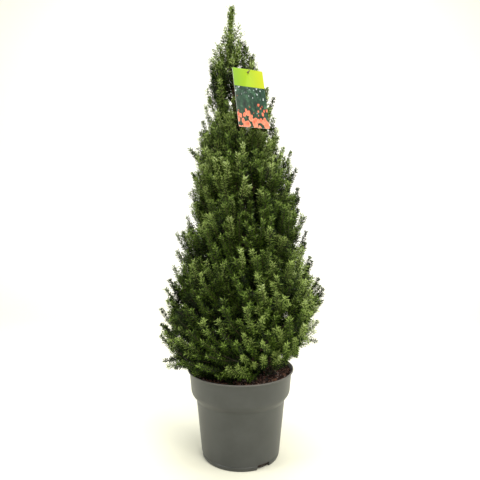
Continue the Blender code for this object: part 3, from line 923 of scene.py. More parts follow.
@dataclass(frozen=True)
class BarkSoil:
    """The pot's filling: a mound of damp fines under three kinds of loose bark chip."""

    pot: NurseryPot
    gap: float = 0.3 * MM
    edge_height: float = 0.2110
    mound: tuple[tuple[float, float], ...] = (
        (0.016, 0.2126), (0.048, 0.2124), (0.075, 0.2122), (0.105, 0.2118),
    )
    side_heights: tuple[float, ...] = (0.169, 0.1432, 0.0147, 0.0056)
    lump: float = 2.0 * MM
    lump_pitch: float = 90.0
    lump_margin: float = 4.0 * MM  # the lumps die out this near the wall
    chip_margin: float = 0.4 * MM
    steps: int = 120
    ring_step: float = 3.0 * MM
    seed: int = 7

    def build(self) -> list[bpy.types.Object]:
        """Raise the mound and strew the chips.

        Returns:
            The soil's pieces.
        """
        brim = self.pot.inner_radius(self.edge_height) - self.gap
        mound = self.bed(brim)
        pieces = [settle(mound, ["soil"])]
        kinds = (
            (CompostedBark("damp", "#170C07", "#46291A"), 0.50, (0.7, 0.6, 0.6), (1.7, 1.5, 1.4)),
            (CompostedBark("fox", "#4C3226", "#9C7058"), 0.30, (0.6, 0.5, 0.6), (1.7, 1.3, 1.3)),
            (CompostedBark("weathered", "#6A5852", "#C2AA9C"), 0.14, (0.5,) * 3, (1.6, 1.1, 1.0)),
        )
        chip = self.chip()
        scatter = ChipScatter()
        copies = scatter.copies()
        for number, (finish, share, smallest, largest) in enumerate(kinds):
            values = {"Chip": chip, "Chips per square metre": scatter.spread * share}
            values |= {"Tilt": scatter.tilt, "Smallest": smallest, "Largest": largest}
            values |= {"Seed": self.seed + number, "Finish": finish.material()}
            piece = copies.run(add_object("bed", mound.data), f"soil_chips_{finish.name}", values)
            self.keep_inside(piece.data, brim - self.chip_margin)
            pieces.append(settle(piece))
        bpy.data.objects.remove(chip, do_unlink=True)
        return pieces

    def bed(self, brim: float) -> bpy.types.Object:
        """Raise the mound of fines that fills the pot.

        Args:
            brim: Its radius at the edge.

        Returns:
            The mound.
        """
        floor = self.pot.floor + self.gap
        rows = [*self.mound, (brim, self.edge_height)]
        profile = [(0.0, self.mound[0][1])]
        radius = self.ring_step
        while radius < brim:
            profile.append((radius, interpolate(rows, radius, 1)))
            radius += self.ring_step
        profile.append((brim, self.edge_height))
        profile += [(self.pot.inner_radius(z) - self.gap, z) for z in self.side_heights]
        profile += [(self.pot.inner_radius(0.0) - 2 * MM, floor), (0.0, floor)]
        builder = MeshBuilder()
        builder.add_turned(profile, self.steps)
        for point in builder.points:
            if point.z >= self.edge_height:
                inward = min(1.0, (brim - point.xy.length) / self.lump_margin)
                lift = noise.fractal(point * self.lump_pitch, 1.0, 2.0, 4) * self.lump
                point.z += lift * max(0.0, inward)
        fines = CompostedBark("fines", "#100805", "#301C10").material()
        mound = builder.build("soil_mound", [fines], BARK_CREASE)
        recalculate(mound.data)
        return mound

    def chip(self) -> bpy.types.Object:
        """Shape one split chip of bark, 11 mm long, to be stretched for each copy.

        Returns:
            The chip.
        """
        builder = MeshBuilder()
        squeezes = (1.0, 0.78, 1.05, 0.8, 0.95)
        for z, half_length, half_width, turn in ((-1.0, 5.2, 2.9, 0.1), (1.1, 4.6, 2.3, -0.12)):
            for corner, squeeze in enumerate(squeezes):
                angle = math.tau * corner / len(squeezes) + turn
                x, y = half_length * squeeze * math.cos(angle), half_width * math.sin(angle)
                builder.points.append(Vector((x, y, z)) * MM)
        builder.add_rings(0, 2, len(squeezes))
        return builder.build("chip", [], 20.0)

    def keep_inside(self, mesh: bpy.types.Mesh, limit: float) -> None:
        """Pull the points of chips that would pass through the pot's wall back inside it.

        Args:
            mesh: The chips.
            limit: The furthest that they may be from the axis.
        """
        for vert in mesh.vertices:
            radius = vert.co.xy.length
            if radius > limit:
                vert.co.xy *= limit / radius


# ---------------------------------------------------------------- the crown's shape


@dataclass(frozen=True)
class CrownShape:
    """The lines that the plant grows on: the stem and the outline that its tips come to."""

    # Height, x, y and radius of the trunk, up to the foot of the leading shoot.
    trunk: tuple[tuple[float, float, float, float], ...] = (
        (0.2108, 0.000, 0.000, 0.0150),
        (0.2300, 0.000, 0.000, 0.0118),
        (0.3000, 0.000, 0.001, 0.0102),
        (0.4000, -0.001, 0.002, 0.0091),
        (0.5200, -0.003, 0.001, 0.0080),
        (0.6400, -0.006, -0.001, 0.0069),
        (0.7700, -0.010, 0.000, 0.0056),
        (0.8900, -0.013, 0.001, 0.0044),
        (0.9500, -0.020, 0.000, 0.0036),
        (0.9950, -0.0276, 0.000, 0.0029),
    )
    # Height, x and y of the leading shoot.
    leader: tuple[tuple[float, float, float], ...] = (
        (1.0400, -0.0275, 0.000),
        (1.0900, -0.0262, 0.000),
        (1.1300, -0.0235, 0.000),
        (1.1600, -0.0222, 0.000),
    )
    # Height, radius and x of the middle of the outline's section.
    outline: tuple[tuple[float, float, float], ...] = (
        (0.225, 0.118, -0.014),
        (0.250, 0.156, -0.020),
        (0.280, 0.184, -0.025),
        (0.310, 0.202, -0.012),
        (0.355, 0.200, -0.003),
        (0.400, 0.200, 0.011),
        (0.450, 0.188, 0.010),
        (0.490, 0.175, 0.010),
        (0.550, 0.165, 0.006),
        (0.610, 0.155, 0.012),
        (0.715, 0.135, 0.004),
        (0.780, 0.125, -0.006),
        (0.860, 0.090, -0.002),
        (0.950, 0.080, -0.010),
        (1.010, 0.064, -0.022),
        (1.055, 0.044, -0.020),
        (1.110, 0.014, -0.025),
        (1.160, 0.006, -0.022),
    )
    wave: float = 0.03  # how far the outline swells and shrinks round the stem

    def stem(self, height: float) -> Vector:
        """The middle of the trunk or the leader at a height."""
        line = [row[:3] for row in self.trunk] + list(self.leader)
        return Vector((interpolate(line, height, 1), interpolate(line, height, 2), height))

    def reach(self, azimuth: float, height: float) -> float:
        """Measure how far the outline lies from the stem.

        Args:
            azimuth: Direction round the stem, in radians from +X.
            height: Height over the ground.

        Returns:
            The distance in metres.
        """
        radius = interpolate(self.outline, height, 1)
        sway = interpolate(self.outline, height, 2) - self.stem(height).x
        swell = 1.0 + self.wave * math.sin(3 * azimuth + 9 * height)
        return radius * swell + sway * math.cos(azimuth)


@dataclass(frozen=True)
class Storey:
    """One storey of masses between two cones whose slant follows its shoots."""

    name: str
    count: int
    turn: float  # azimuth of its first mass
    floor: tuple[float, float]  # the lower cone: its height at the stem, and its rise per metre
    roof: tuple[float, float]
    core_in: float  # where the frame's core begins, as a share of the way to the outline
    show: float  # how far under the outline it ends
    rise: tuple[float, float]  # how steeply its shoots climb, lowest and highest, in degrees
    bough: bool
    openness: float = 1.0  # distance between its shoots against the crown's others
    stature: float = 1.0  # length of its shoots against the crown's others
    sunny: bool = False  # so slim that its inner shoots stay green


STOREYS = (
    Storey("skirt", 6, 30.0, (0.2270, 0.00), (0.270, 0.80), 0.42, 0.044, (10, 54), True),
    Storey("low", 6, 45.0, (0.270, 0.80), (0.372, 1.10), 0.40, 0.042, (52, 62), True),
    Storey("middle", 5, 44.0, (0.372, 1.10), (0.490, 1.35), 0.36, 0.038, (60, 66), True),
    Storey("high", 5, 64.0, (0.490, 1.35), (0.618, 1.62), 0.32, 0.034, (64, 69), True),
    Storey("upper", 4, 70.0, (0.618, 1.62), (0.745, 2.00), 0.26, 0.028, (66, 70), False, 1.0, 0.95),
    Storey("neck", 3, -50.0, (0.745, 2.00), (0.885, 2.60), 0, 0, (67, 73), False, 1.28, 1.0, True),
    Storey("leader", 1, 0.0, (0.885, 2.60), (1.075, 0.0), 0, 0, (67, 78), False, 1.34, 0.86, True),
)


@dataclass(frozen=True)
class Cell:
    """The space that one mass keeps to: a wedge round the stem between its storey's cones."""

    shape: CrownShape
    storey: Storey
    azimuth: float
    half_width: float
    core_margin: float = 0.0035
    core_least: float = 0.012
    bough_depth: float = 0.012  # how far before the core a bough ends
    guess: float = 0.1  # the radius that a search starts from
    rounds: int = 14

    def point(self, azimuth: float, radius: float, height: float) -> Vector:
        """The place at an azimuth, a distance from the stem and a height."""
        return self.shape.stem(height) + polar(azimuth, radius, 0.0)

    def height_at(self, radius: float, up: float, margin: float = 0.0) -> float:
        """Find a height between the cones.

        Args:
            radius: Distance from the stem.
            up: From -1, the lower cone, to 1, the upper cone.
            margin: How far inside the cones it stays.

        Returns:
            The height.
        """
        low = self.storey.floor[0] + self.storey.floor[1] * radius + margin
        high = self.storey.roof[0] + self.storey.roof[1] * radius - margin
        return low + (up + 1) / 2 * (high - low)

    def holds(self, place: Vector, slack: float) -> bool:
        """Tell whether a place lies in the cell.

        Args:
            place: The place to test.
            slack: How far over the border it may be.

        Returns:
            True inside.
        """
        offset = (place - self.shape.stem(place.z)).xy
        radius = offset.length
        turn = math.remainder(math.atan2(offset.y, offset.x) - self.azimuth, math.tau)
        if self.half_width < math.pi and abs(turn) > self.half_width:
            if radius * math.sin(min(math.pi / 2, abs(turn) - self.half_width)) > slack:
                return False
        low, high = self.height_at(radius, -1.0), self.height_at(radius, 1.0)
        return low - slack <= place.z <= high + slack

    def on_outline(self, across: float, up: float, share: float) -> Vector:
        """Find a place on the outline, drawn in to a share of its distance from the stem.

        Args:
            across: From -1 to 1 over the cell's width.
            up: From -1 to 1 over its height.
            share: Share of the outline's distance.

        Returns:
            The place.
        """
        azimuth = self.azimuth + across * self.half_width
        radius = self.guess
        for _ in range(self.rounds):
            height = self.height_at(radius, up)
            radius = 0.5 * (radius + share * self.shape.reach(azimuth, height))
        return self.point(azimuth, radius, self.height_at(radius, up))

    def core_point(self, across: float, outward: float, up: float) -> Vector:
        """Find where a point of a cube comes to lie in the mass's inner part.

        Args:
            across: From -1 to 1 over the cell's width.
            outward: From -1 to 1 away from the stem.
            up: From -1 to 1 over its height.

        Returns:
            The place.
        """
        span = self.span_at(self.span_at(self.guess, 0.0), 0.0)
        inner = self.storey.core_in * span
        outer = max(self.span_at(span, up) - self.storey.show, inner + self.core_least)
        radius = inner + (outward + 1) / 2 * (outer - inner)
        wall = math.asin(min(0.9, self.core_margin / radius))
        azimuth = self.azimuth + across * (self.half_width - wall)
        return self.point(azimuth, radius, self.height_at(radius, up, self.core_margin))

    def span_at(self, radius: float, up: float) -> float:
        """The outline's distance from the stem at the height that a radius and a share give."""
        return self.shape.reach(self.azimuth, self.height_at(radius, up))

    def bough_end(self) -> tuple[Vector, Vector]:
        """Find where the mass's bough ends, and the way that it points.

        Returns:
            The place and the unit direction towards the mass's middle.
        """
        inner = self.core_point(0.0, -1.0, 0.0)
        direction = (self.core_point(0.0, 0.0, 0.0) - inner).normalized()
        return inner - direction * self.bough_depth, direction


def cells_of(shape: CrownShape, storey: Storey) -> list[Cell]:
    """Lay a storey's cells side by side round the stem.

    Args:
        shape: The crown's shape.
        storey: The storey.

    Returns:
        The cells, in the order of their numbers.
    """
    half = math.pi / storey.count
    first = math.radians(storey.turn)
    return [Cell(shape, storey, first + 2 * half * index, half) for index in range(storey.count)]


# ---------------------------------------------------------------- wood


@dataclass(frozen=True)
class SpruceWood:
    """The trunk with its root flare and the boughs, all with the relief of their bark."""

    shape: CrownShape
    trunk_sides: int = 30
    bough_sides: int = 12
    ring_step: float = 2.6 * MM
    flare_height: float = 0.018
    flare_lobes: int = 4
    flare_depth: float = 0.0032
    root_radius: float = 0.0055
    tip_radius: float = 0.0035
    bough_roots: tuple[float, float] = (0.06, 0.70)  # shares of a storey's height
    bough_sag: float = 0.04
    flake_pitch: float = 260.0
    flake_stretch: float = 0.42  # their pitch along the trunk against the one round it
    grain_pitch: float = 420.0
    deepest: float = 0.0011
    depth_share: float = 0.085  # of a thin limb's radius

    def relief(self, place: Vector, radius: float) -> float:
        """Measure the bark's relief.

        Args:
            place: A point of the smooth surface.
            radius: The limb's radius there.

        Returns:
            How far the point moves outwards.
        """
        flake = Vector((place.x, place.y, self.flake_stretch * place.z)) * self.flake_pitch
        scale = noise.cell(flake + 0.6 * noise.noise_vector(flake))
        rough = noise.fractal(place * self.grain_pitch, 1.0, 2.0, 3)
        depth = min(self.deepest, self.depth_share * radius)
        return depth * (0.55 * scale + 0.6 * rough)

    def flared(self, place: Vector, radius: float) -> float:
        """Measure the trunk's relief: its bark's, and the lobes of its roots at the foot.

        Args:
            place: A point of the smooth surface.
            radius: The trunk's radius there.

        Returns:
            How far the point moves outwards.
        """
        share = max(0.0, 1.0 - (place.z - self.shape.trunk[0][0]) / self.flare_height)
        turn = math.atan2(place.y, place.x)
        lobe = self.flare_depth * share * (1.0 + math.cos(self.flare_lobes * turn)) / 2
        return lobe + self.relief(place, radius)

    def trunk(self, finish: bpy.types.Material) -> bpy.types.Object:
        """Build the trunk from its flared foot to the leader.

        Args:
            finish: The bark.

        Returns:
            The trunk's piece.
        """
        builder = MeshBuilder()
        knots = [(x, y, z, radius) for z, x, y, radius in self.shape.trunk]
        builder.add_limb(knots, self.ring_step, self.trunk_sides, self.flared)
        return settle(builder.build("trunk_bark", [finish], BARK_CREASE), ["trunk"])

    def boughs(self, finish: bpy.types.Material) -> bpy.types.Object:
        """Build every bough, from the trunk to where it enters its mass.

        Args:
            finish: The bark.

        Returns:
            One piece that holds them all.
        """
        builder = MeshBuilder()
        names = []
        low, high = self.bough_roots
        for storey in (storey for storey in STOREYS if storey.bough):
            for index, cell in enumerate(cells_of(self.shape, storey)):
                place = 0.5 * (index % 2) + (index // 2) / storey.count
                share = low + (high - low) * place
                height = storey.floor[0] + share * (storey.roof[0] - storey.floor[0])
                root = self.shape.stem(height)
                tip, direction = cell.bough_end()
                span = (tip - root).length
                knee = tip - direction * span * 0.45
                sag = root.lerp(knee, 0.5) - Vector((0.0, 0.0, self.bough_sag * span))
                knots = [
                    (*root, self.root_radius),
                    (*sag, 0.5 * (self.root_radius + self.tip_radius)),
                    (*knee, 1.05 * self.tip_radius),
                    (*tip, self.tip_radius),
                ]
                builder.add_limb(knots, 1.3 * self.ring_step, self.bough_sides, self.relief)
                names.append(f"bough_{storey.name}_{index + 1}")
        return settle(builder.build("boughs_bark", [finish], BARK_CREASE), names)


# ---------------------------------------------------------------- foliage


Shares = tuple[tuple[Tint, float], ...]


def mix(**shares: float) -> Shares:
    """The share of each tint, named in lower case."""
    return tuple((Tint[name.upper()], share) for name, share in shares.items())


@dataclass(frozen=True)
class Layer:
    """One depth of shoots under the outline."""

    reach: tuple[float, float]  # shares of the outline that its tips come to
    spacing: float
    length: tuple[float, float]
    laterals: float  # side shoots of each
    bodies: Shares
    tips: Shares
    old_twigs: bool = False  # so deep that the twigs keep only old needles
    sparse: bool = False  # coarse dark needles, for the shade inside


# From the outline inwards: the outer layer, the one under it, the inner one and the heart.
LAYERS = (
    Layer(
        (0.88, 1.02), 0.0285, (0.070, 0.110), 0.60,
        mix(deep=0.40, olive=0.42, blue=0.18), mix(fresh=0.44, spring=0.10, olive=0.46),
    ),
    Layer(
        (0.73, 0.88), 0.0275, (0.048, 0.075), 0.7,
        mix(deep=0.65, blue=0.15, olive=0.20), mix(olive=0.72, fresh=0.28),
    ),
    Layer(
        (0.50, 0.73), 0.0300, (0.045, 0.070), 0.3,
        mix(shade=0.6, deep=0.4), mix(deep=0.65, olive=0.35), old_twigs=True,
    ),
    Layer(
        (0.20, 0.50), 0.0290, (0.040, 0.060), 0.0,
        mix(shade=1.0), mix(shade=1.0), old_twigs=True, sparse=True,
    ),
)

# The tones of the crown's slim top, where every shoot has light: bodies and tips.
SUNNY_TONES = (mix(olive=0.50, fresh=0.35, blue=0.15), mix(fresh=0.45, spring=0.55))

# The tones of the shoots that stand out of the edge: darker tints, painted shade for how dark they
# stand against the light behind them.
EDGE_TONES = (
    mix(deep=0.55, blue=0.15, olive=0.30), mix(deep=0.45, olive=0.45, fresh=0.10),
)
TOP_EDGE_TONES = {
    "leader": SUNNY_TONES,
    "neck": (mix(blue=0.40, deep=0.25, olive=0.35), mix(olive=0.75, fresh=0.25)),
}

# Where the shoots take lighter or darker tints than elsewhere, partly for fresher or duller growth
# and partly as painted light and shade, such as the darker left side: x, z, how far that carries,
# how strong.
TINT_LIGHTNESS = (
    (-0.16, 0.3, 0.14, -1.0), (-0.08, 0.98, 0.06, -2.2), (0.0, 0.36, 0.2, -0.32),
    (0.02, 0.27, 0.1, 0.2), (0.14, 0.28, 0.08, 0.35), (0.02, 0.53, 0.09, -0.3),
    (0.14, 0.38, 0.1, 0.3), (0.11, 0.67, 0.08, -0.8), (-0.1, 0.55, 0.07, -0.6),
    (-0.13, 0.42, 0.09, -1.0), (-0.005, 0.78, 0.05, -0.7), (-0.1, 0.69, 0.08, 0.7),
    (-0.09, 0.82, 0.09, 0.6), (0.08, 0.82, 0.07, 0.6),
)

# Places at the crown's edge where no shoot grows, so that the sky shows in: x, z, how wide.
SKY_GAPS = (
    (-0.118, 0.736, 0.012), (-0.126, 0.608, 0.008), (-0.115, 0.594, 0.006),
    (0.078, 0.832, 0.012), (0.002, 1.000, 0.006), (0.098, 0.796, 0.010),
    (-0.083, 0.976, 0.009), (-0.081, 0.947, 0.009), (-0.044, 1.048, 0.008),
    (0.164, 0.580, 0.007), (0.204, 0.362, 0.012),
)

# Shoots that stand out of the crown's edge: x, y and z of the tip and of the root, in mm.
EDGE_SHOOTS = (
    (-4, -8, 1098, -22, 0, 1050), (3, 4, 1086, -15, 2, 1036),
    (-40.4, -4, 1090, -30, 0, 1046), (-46, 6, 1074, -34, 2, 1030),
    (-24, -20, 1070, -28, -7, 992), (-30, 18, 1062, -28, 6, 990),
    (-2, -6, 1052, -18, -2, 982), (-53.4, 2, 1048.5, -46, 0, 985),
    (-66.5, 6, 1042, -52, 2, 978), (-78, -6, 1012, -66, -2, 952),
    (12, 0, 1042, 6, 0, 1006), (34.5, 6, 1030, 27, 10, 986),
    (36.5, 10, 1008, 28, 12, 968), (18, 8, 1006, 6, 4, 950),
    (-87, 0, 936, -70, 0, 878), (-90, -6, 892, -74, -2, 830),
    (-97.5, 4, 854, -80, 2, 792), (-104, 0, 826, -88, 0, 765),
    (71, 16, 945, 56, 14, 888), (86, 10, 918, 66, 8, 858),
    (78, 12, 896, 60, 10, 836), (89.2, 2, 832, 70, 2, 778),
    (96, -4, 814, 76, -2, 760), (-25, -113, 214.5, -18, -70, 262),
    (-5, -112, 230, -4, -68, 268), (31, -104, 234, 25, -62, 270),
    (-193, -20, 242, -147, -15, 250), (-178, -50, 238, -133, -36, 248),
    (143.5, -10, 250, 90, -6, 264), (195, 0, 287, 150, 0, 300),
    (-206, 0, 300, -165, 0, 264), (211, 4, 405, 170, 3, 380),
    (211, -10, 423, 168, -8, 370), (208, 20, 380, 163, 15, 336),
    (167, 4, 606, 138, 2, 560), (148, -6, 627, 126, -4, 570),
    (179, 0, 503, 151, 0, 448), (173, 10, 456, 144, 8, 406),
    (196, 0, 435, 156, 0, 385), (130.6, 4, 776, 101, 2, 714),
    (142.5, -4, 729, 113, -2, 668), (-164, 0, 562, -130, 0, 508),
    (-164, 6, 518, -134, 4, 470), (-184, 0, 444, -148, 0, 399),
    (-192.5, -6, 422, -152, -4, 376), (-170, -60, 260, -120, -44, 264),
    (-156, -80, 244, -108, -56, 256), (-131, 0, 783, -80, 0, 738),
    (-125, 6, 775, -78, 4, 726), (111, 4, 788, 86, 2, 726),
    (-124.5, 2, 721, -96, 2, 682), (133, 4, 718, 108, 2, 656),
    (140, -4, 666, 118, -2, 608), (166, -4, 542, 146, -2, 486),
    (176, -2, 483, 152, 0, 428), (183, 3, 452, 156, 2, 400),
    (206, 6, 428, 164, 4, 374), (198, 0, 336, 156, 0, 296),
    (-148, 4, 566, -123, 2, 506), (-196, -4, 310, -150, -4, 266),
    (149, 0, 658, 129, 0, 603), (148.5, 4, 680, 127, 2, 618),
    (169, 0, 569, 150, 0, 520), (185.1, 3, 492, 157, 2, 440),
    (201, -3, 448, 165, -2, 401), (209.5, 2, 390, 172, 2, 372),
    (-173, 4, 477, -145, 3, 425), (-187, 2, 394, -151, 2, 346),
    (-204, -3, 368, -165, -2, 319), (-205, 4, 329, -164, 4, 286),
    (85, 2, 861, 68, 1, 806), (-79, -4, 948, -64, -3, 892),
    (-34, -45, 975, -30, -30, 920), (-44, -44, 930, -38, -28, 876),
    (-37, -50, 890, -32, -32, 835), (-27, -54, 856, -24, -36, 800),
    (-56, -34, 900, -47, -22, 846), (-170, 0, 437, -140, 0, 375),
    (-158, -20, 430, -128, -15, 365), (-150, 30, 450, -120, 20, 388),
    (-163, 20, 402, -132, 10, 340), (-178, -10, 398, -148, -8, 335),
    (-142, -30, 470, -114, -25, 405), (-148, 0, 412, -118, 0, 350),
)


@dataclass(frozen=True)
class NeedleSpacing:
    """How thickly one sort of needle stands along a shoot, and how it leans."""

    spacing: float
    width: float
    tuft_depth: float
    lean_at_foot: float = math.radians(66.0)
    lean_at_bud: float = math.radians(52.0)


class Weave(Enum):
    """The sorts of needle: dense, mixed in, old, on the slim top, at the edge, on the leader."""

    MAIN = NeedleSpacing(1.02 * MM, 2.1 * MM, 0.26)
    MIXED = NeedleSpacing(1.60 * MM, 2.0 * MM, 0.24)
    OLD = NeedleSpacing(1.10 * MM, 3.3 * MM, 0.20)
    COARSE = NeedleSpacing(1.60 * MM, 2.8 * MM, 0.40, math.radians(60.0), math.radians(40.0))
    EDGE = NeedleSpacing(0.52 * MM, 2.3 * MM, 0.28, math.radians(60.0), math.radians(42.0))
    LEADER = NeedleSpacing(4.60 * MM, 3.3 * MM, 0.46, math.radians(64.0), math.radians(46.0))


@dataclass(frozen=True)
class Shoot:
    """One axis of needles."""

    line: Sequence[Vector]
    body: Tint
    tip: Tint
    storey: str
    fullness: float = 1.0
    weave: Weave = Weave.MAIN


@dataclass(frozen=True)
class NeedleBrush:
    """Geometry Nodes that set needles all round the curves they are given.

    A curve point's radius sets the needles' size and its tilt, from 0 at the shoot's foot to 1 at
    its bud, sets how far they lean forward.
    """

    length: float = 10.6 * MM
    golden_turn: float = math.radians(137.508)
    tuft_spacing: float = 9.5 * MM / math.tau
    seed: int = 11
    seed_of_lean: int = 3
    seed_of_size: int = 5

    def needle(self) -> bpy.types.Object:
        """Shape one needle, 1 long: a pointed blade folded down its middle.

        Returns:
            The needle.
        """
        builder = MeshBuilder()
        corners = ((0.0, 0.20, 0.0), (0.0, 0.10, 1.0), (-0.5, -0.25, 0.60), (0.5, -0.25, 0.60))
        builder.points += [Vector(corner) for corner in corners]
        builder.faces += [(0, 1, 2), (0, 3, 1)]
        needle = builder.build("needle", [], 10.0)
        needle.data.shade_flat()
        return needle

    def copies(self) -> CopyTree:
        """Build the brush.

        Returns:
            Its tree.
        """
        sizes = ("Needle spacing", "Needle length", "Needle width", "Lean at foot", "Lean at bud")
        sizes += ("Tuft spacing", "Tuft depth", "Turn from needle to needle")
        brush = CopyTree(
            "needle_brush",
            {"Shoots": "Geometry", "Needle": "Object"}
            | dict.fromkeys(sizes, "Float")
            | {"Seed": "Int", "Finish": "Material"},
        )
        tree, given = brush.tree, brush.given
        held = add_node(tree, "GeometryNodeCaptureAttribute", domain="POINT")
        for name in ("Size", "Age", "Way"):
            held.capture_items.new("FLOAT", name)
        way = add_node(tree, "GeometryNodeSplineParameter").outputs["Length"]
        size = add_node(tree, "GeometryNodeInputRadius")
        age = add_node(tree, "GeometryNodeInputCurveTilt")
        feed(held, {0: given["Shoots"], 1: size, 2: age, 3: way})
        shoots, size, age, way = list(held.outputs)[:4]
        inputs = {"Curve": shoots, "Length": given["Needle spacing"]}
        spots = add_node(tree, "GeometryNodeCurveToPoints", inputs, mode="LENGTH")
        # Each needle turns on from the last by the golden angle, a little unevenly.
        inputs = {2: -0.35, 3: 0.35, "Seed": given["Seed"]}
        wobble = add_node(tree, "FunctionNodeRandomValue", inputs, data_type="FLOAT")
        number = add_node(tree, "GeometryNodeInputIndex")
        inputs = {0: number, 1: given["Turn from needle to needle"], 2: wobble}
        spin = add_node(tree, "ShaderNodeMath", inputs, operation="MULTIPLY_ADD")
        inputs = {"Axis": (0.0, 0.0, 1.0), "Angle": spin}
        spun = add_node(tree, "FunctionNodeAxisAngleToRotation", inputs)
        # It leans forward, more so near the bud.
        inputs = {"Value": age, "To Min": given["Lean at foot"], "To Max": given["Lean at bud"]}
        lean = add_node(tree, "ShaderNodeMapRange", inputs)
        inputs = {2: -0.30, 3: 0.30, "Seed": self.seed_of_lean}
        unruly = add_node(tree, "FunctionNodeRandomValue", inputs, data_type="FLOAT")
        leant = add_node(tree, "ShaderNodeMath", {0: lean, 1: unruly}, operation="ADD")
        inputs = {"Axis": (1.0, 0.0, 0.0), "Angle": leant}
        tipped = add_node(tree, "FunctionNodeAxisAngleToRotation", inputs)
        turn = spots.outputs["Rotation"]
        for part in (spun, tipped):
            inputs = {0: turn, 1: part}
            turn = add_node(tree, "FunctionNodeRotateRotation", inputs, rotation_space="LOCAL")
        # Needles stand in loose tufts, longer and shorter by turns along the shoot.
        inputs = {2: 0.68, 3: 1.16, "Seed": self.seed_of_size}
        growth = add_node(tree, "FunctionNodeRandomValue", inputs, data_type="FLOAT")
        grown = add_node(tree, "ShaderNodeMath", {0: size, 1: growth}, operation="MULTIPLY")
        inputs = {0: way, 1: given["Tuft spacing"]}
        phase = add_node(tree, "ShaderNodeMath", inputs, operation="DIVIDE")
        beat = add_node(tree, "ShaderNodeMath", {0: phase}, operation="SINE")
        inputs = {0: beat, 1: given["Tuft depth"], 2: 1.0}
        swell = add_node(tree, "ShaderNodeMath", inputs, operation="MULTIPLY_ADD")
        for factor in (swell, given["Needle length"]):
            grown = add_node(tree, "ShaderNodeMath", {0: grown, 1: factor}, operation="MULTIPLY")
        width = given["Needle width"]
        scale = add_node(tree, "ShaderNodeCombineXYZ", {0: width, 1: width, 2: grown})
        brush.end("Needle", spots, turn, scale)
        return brush


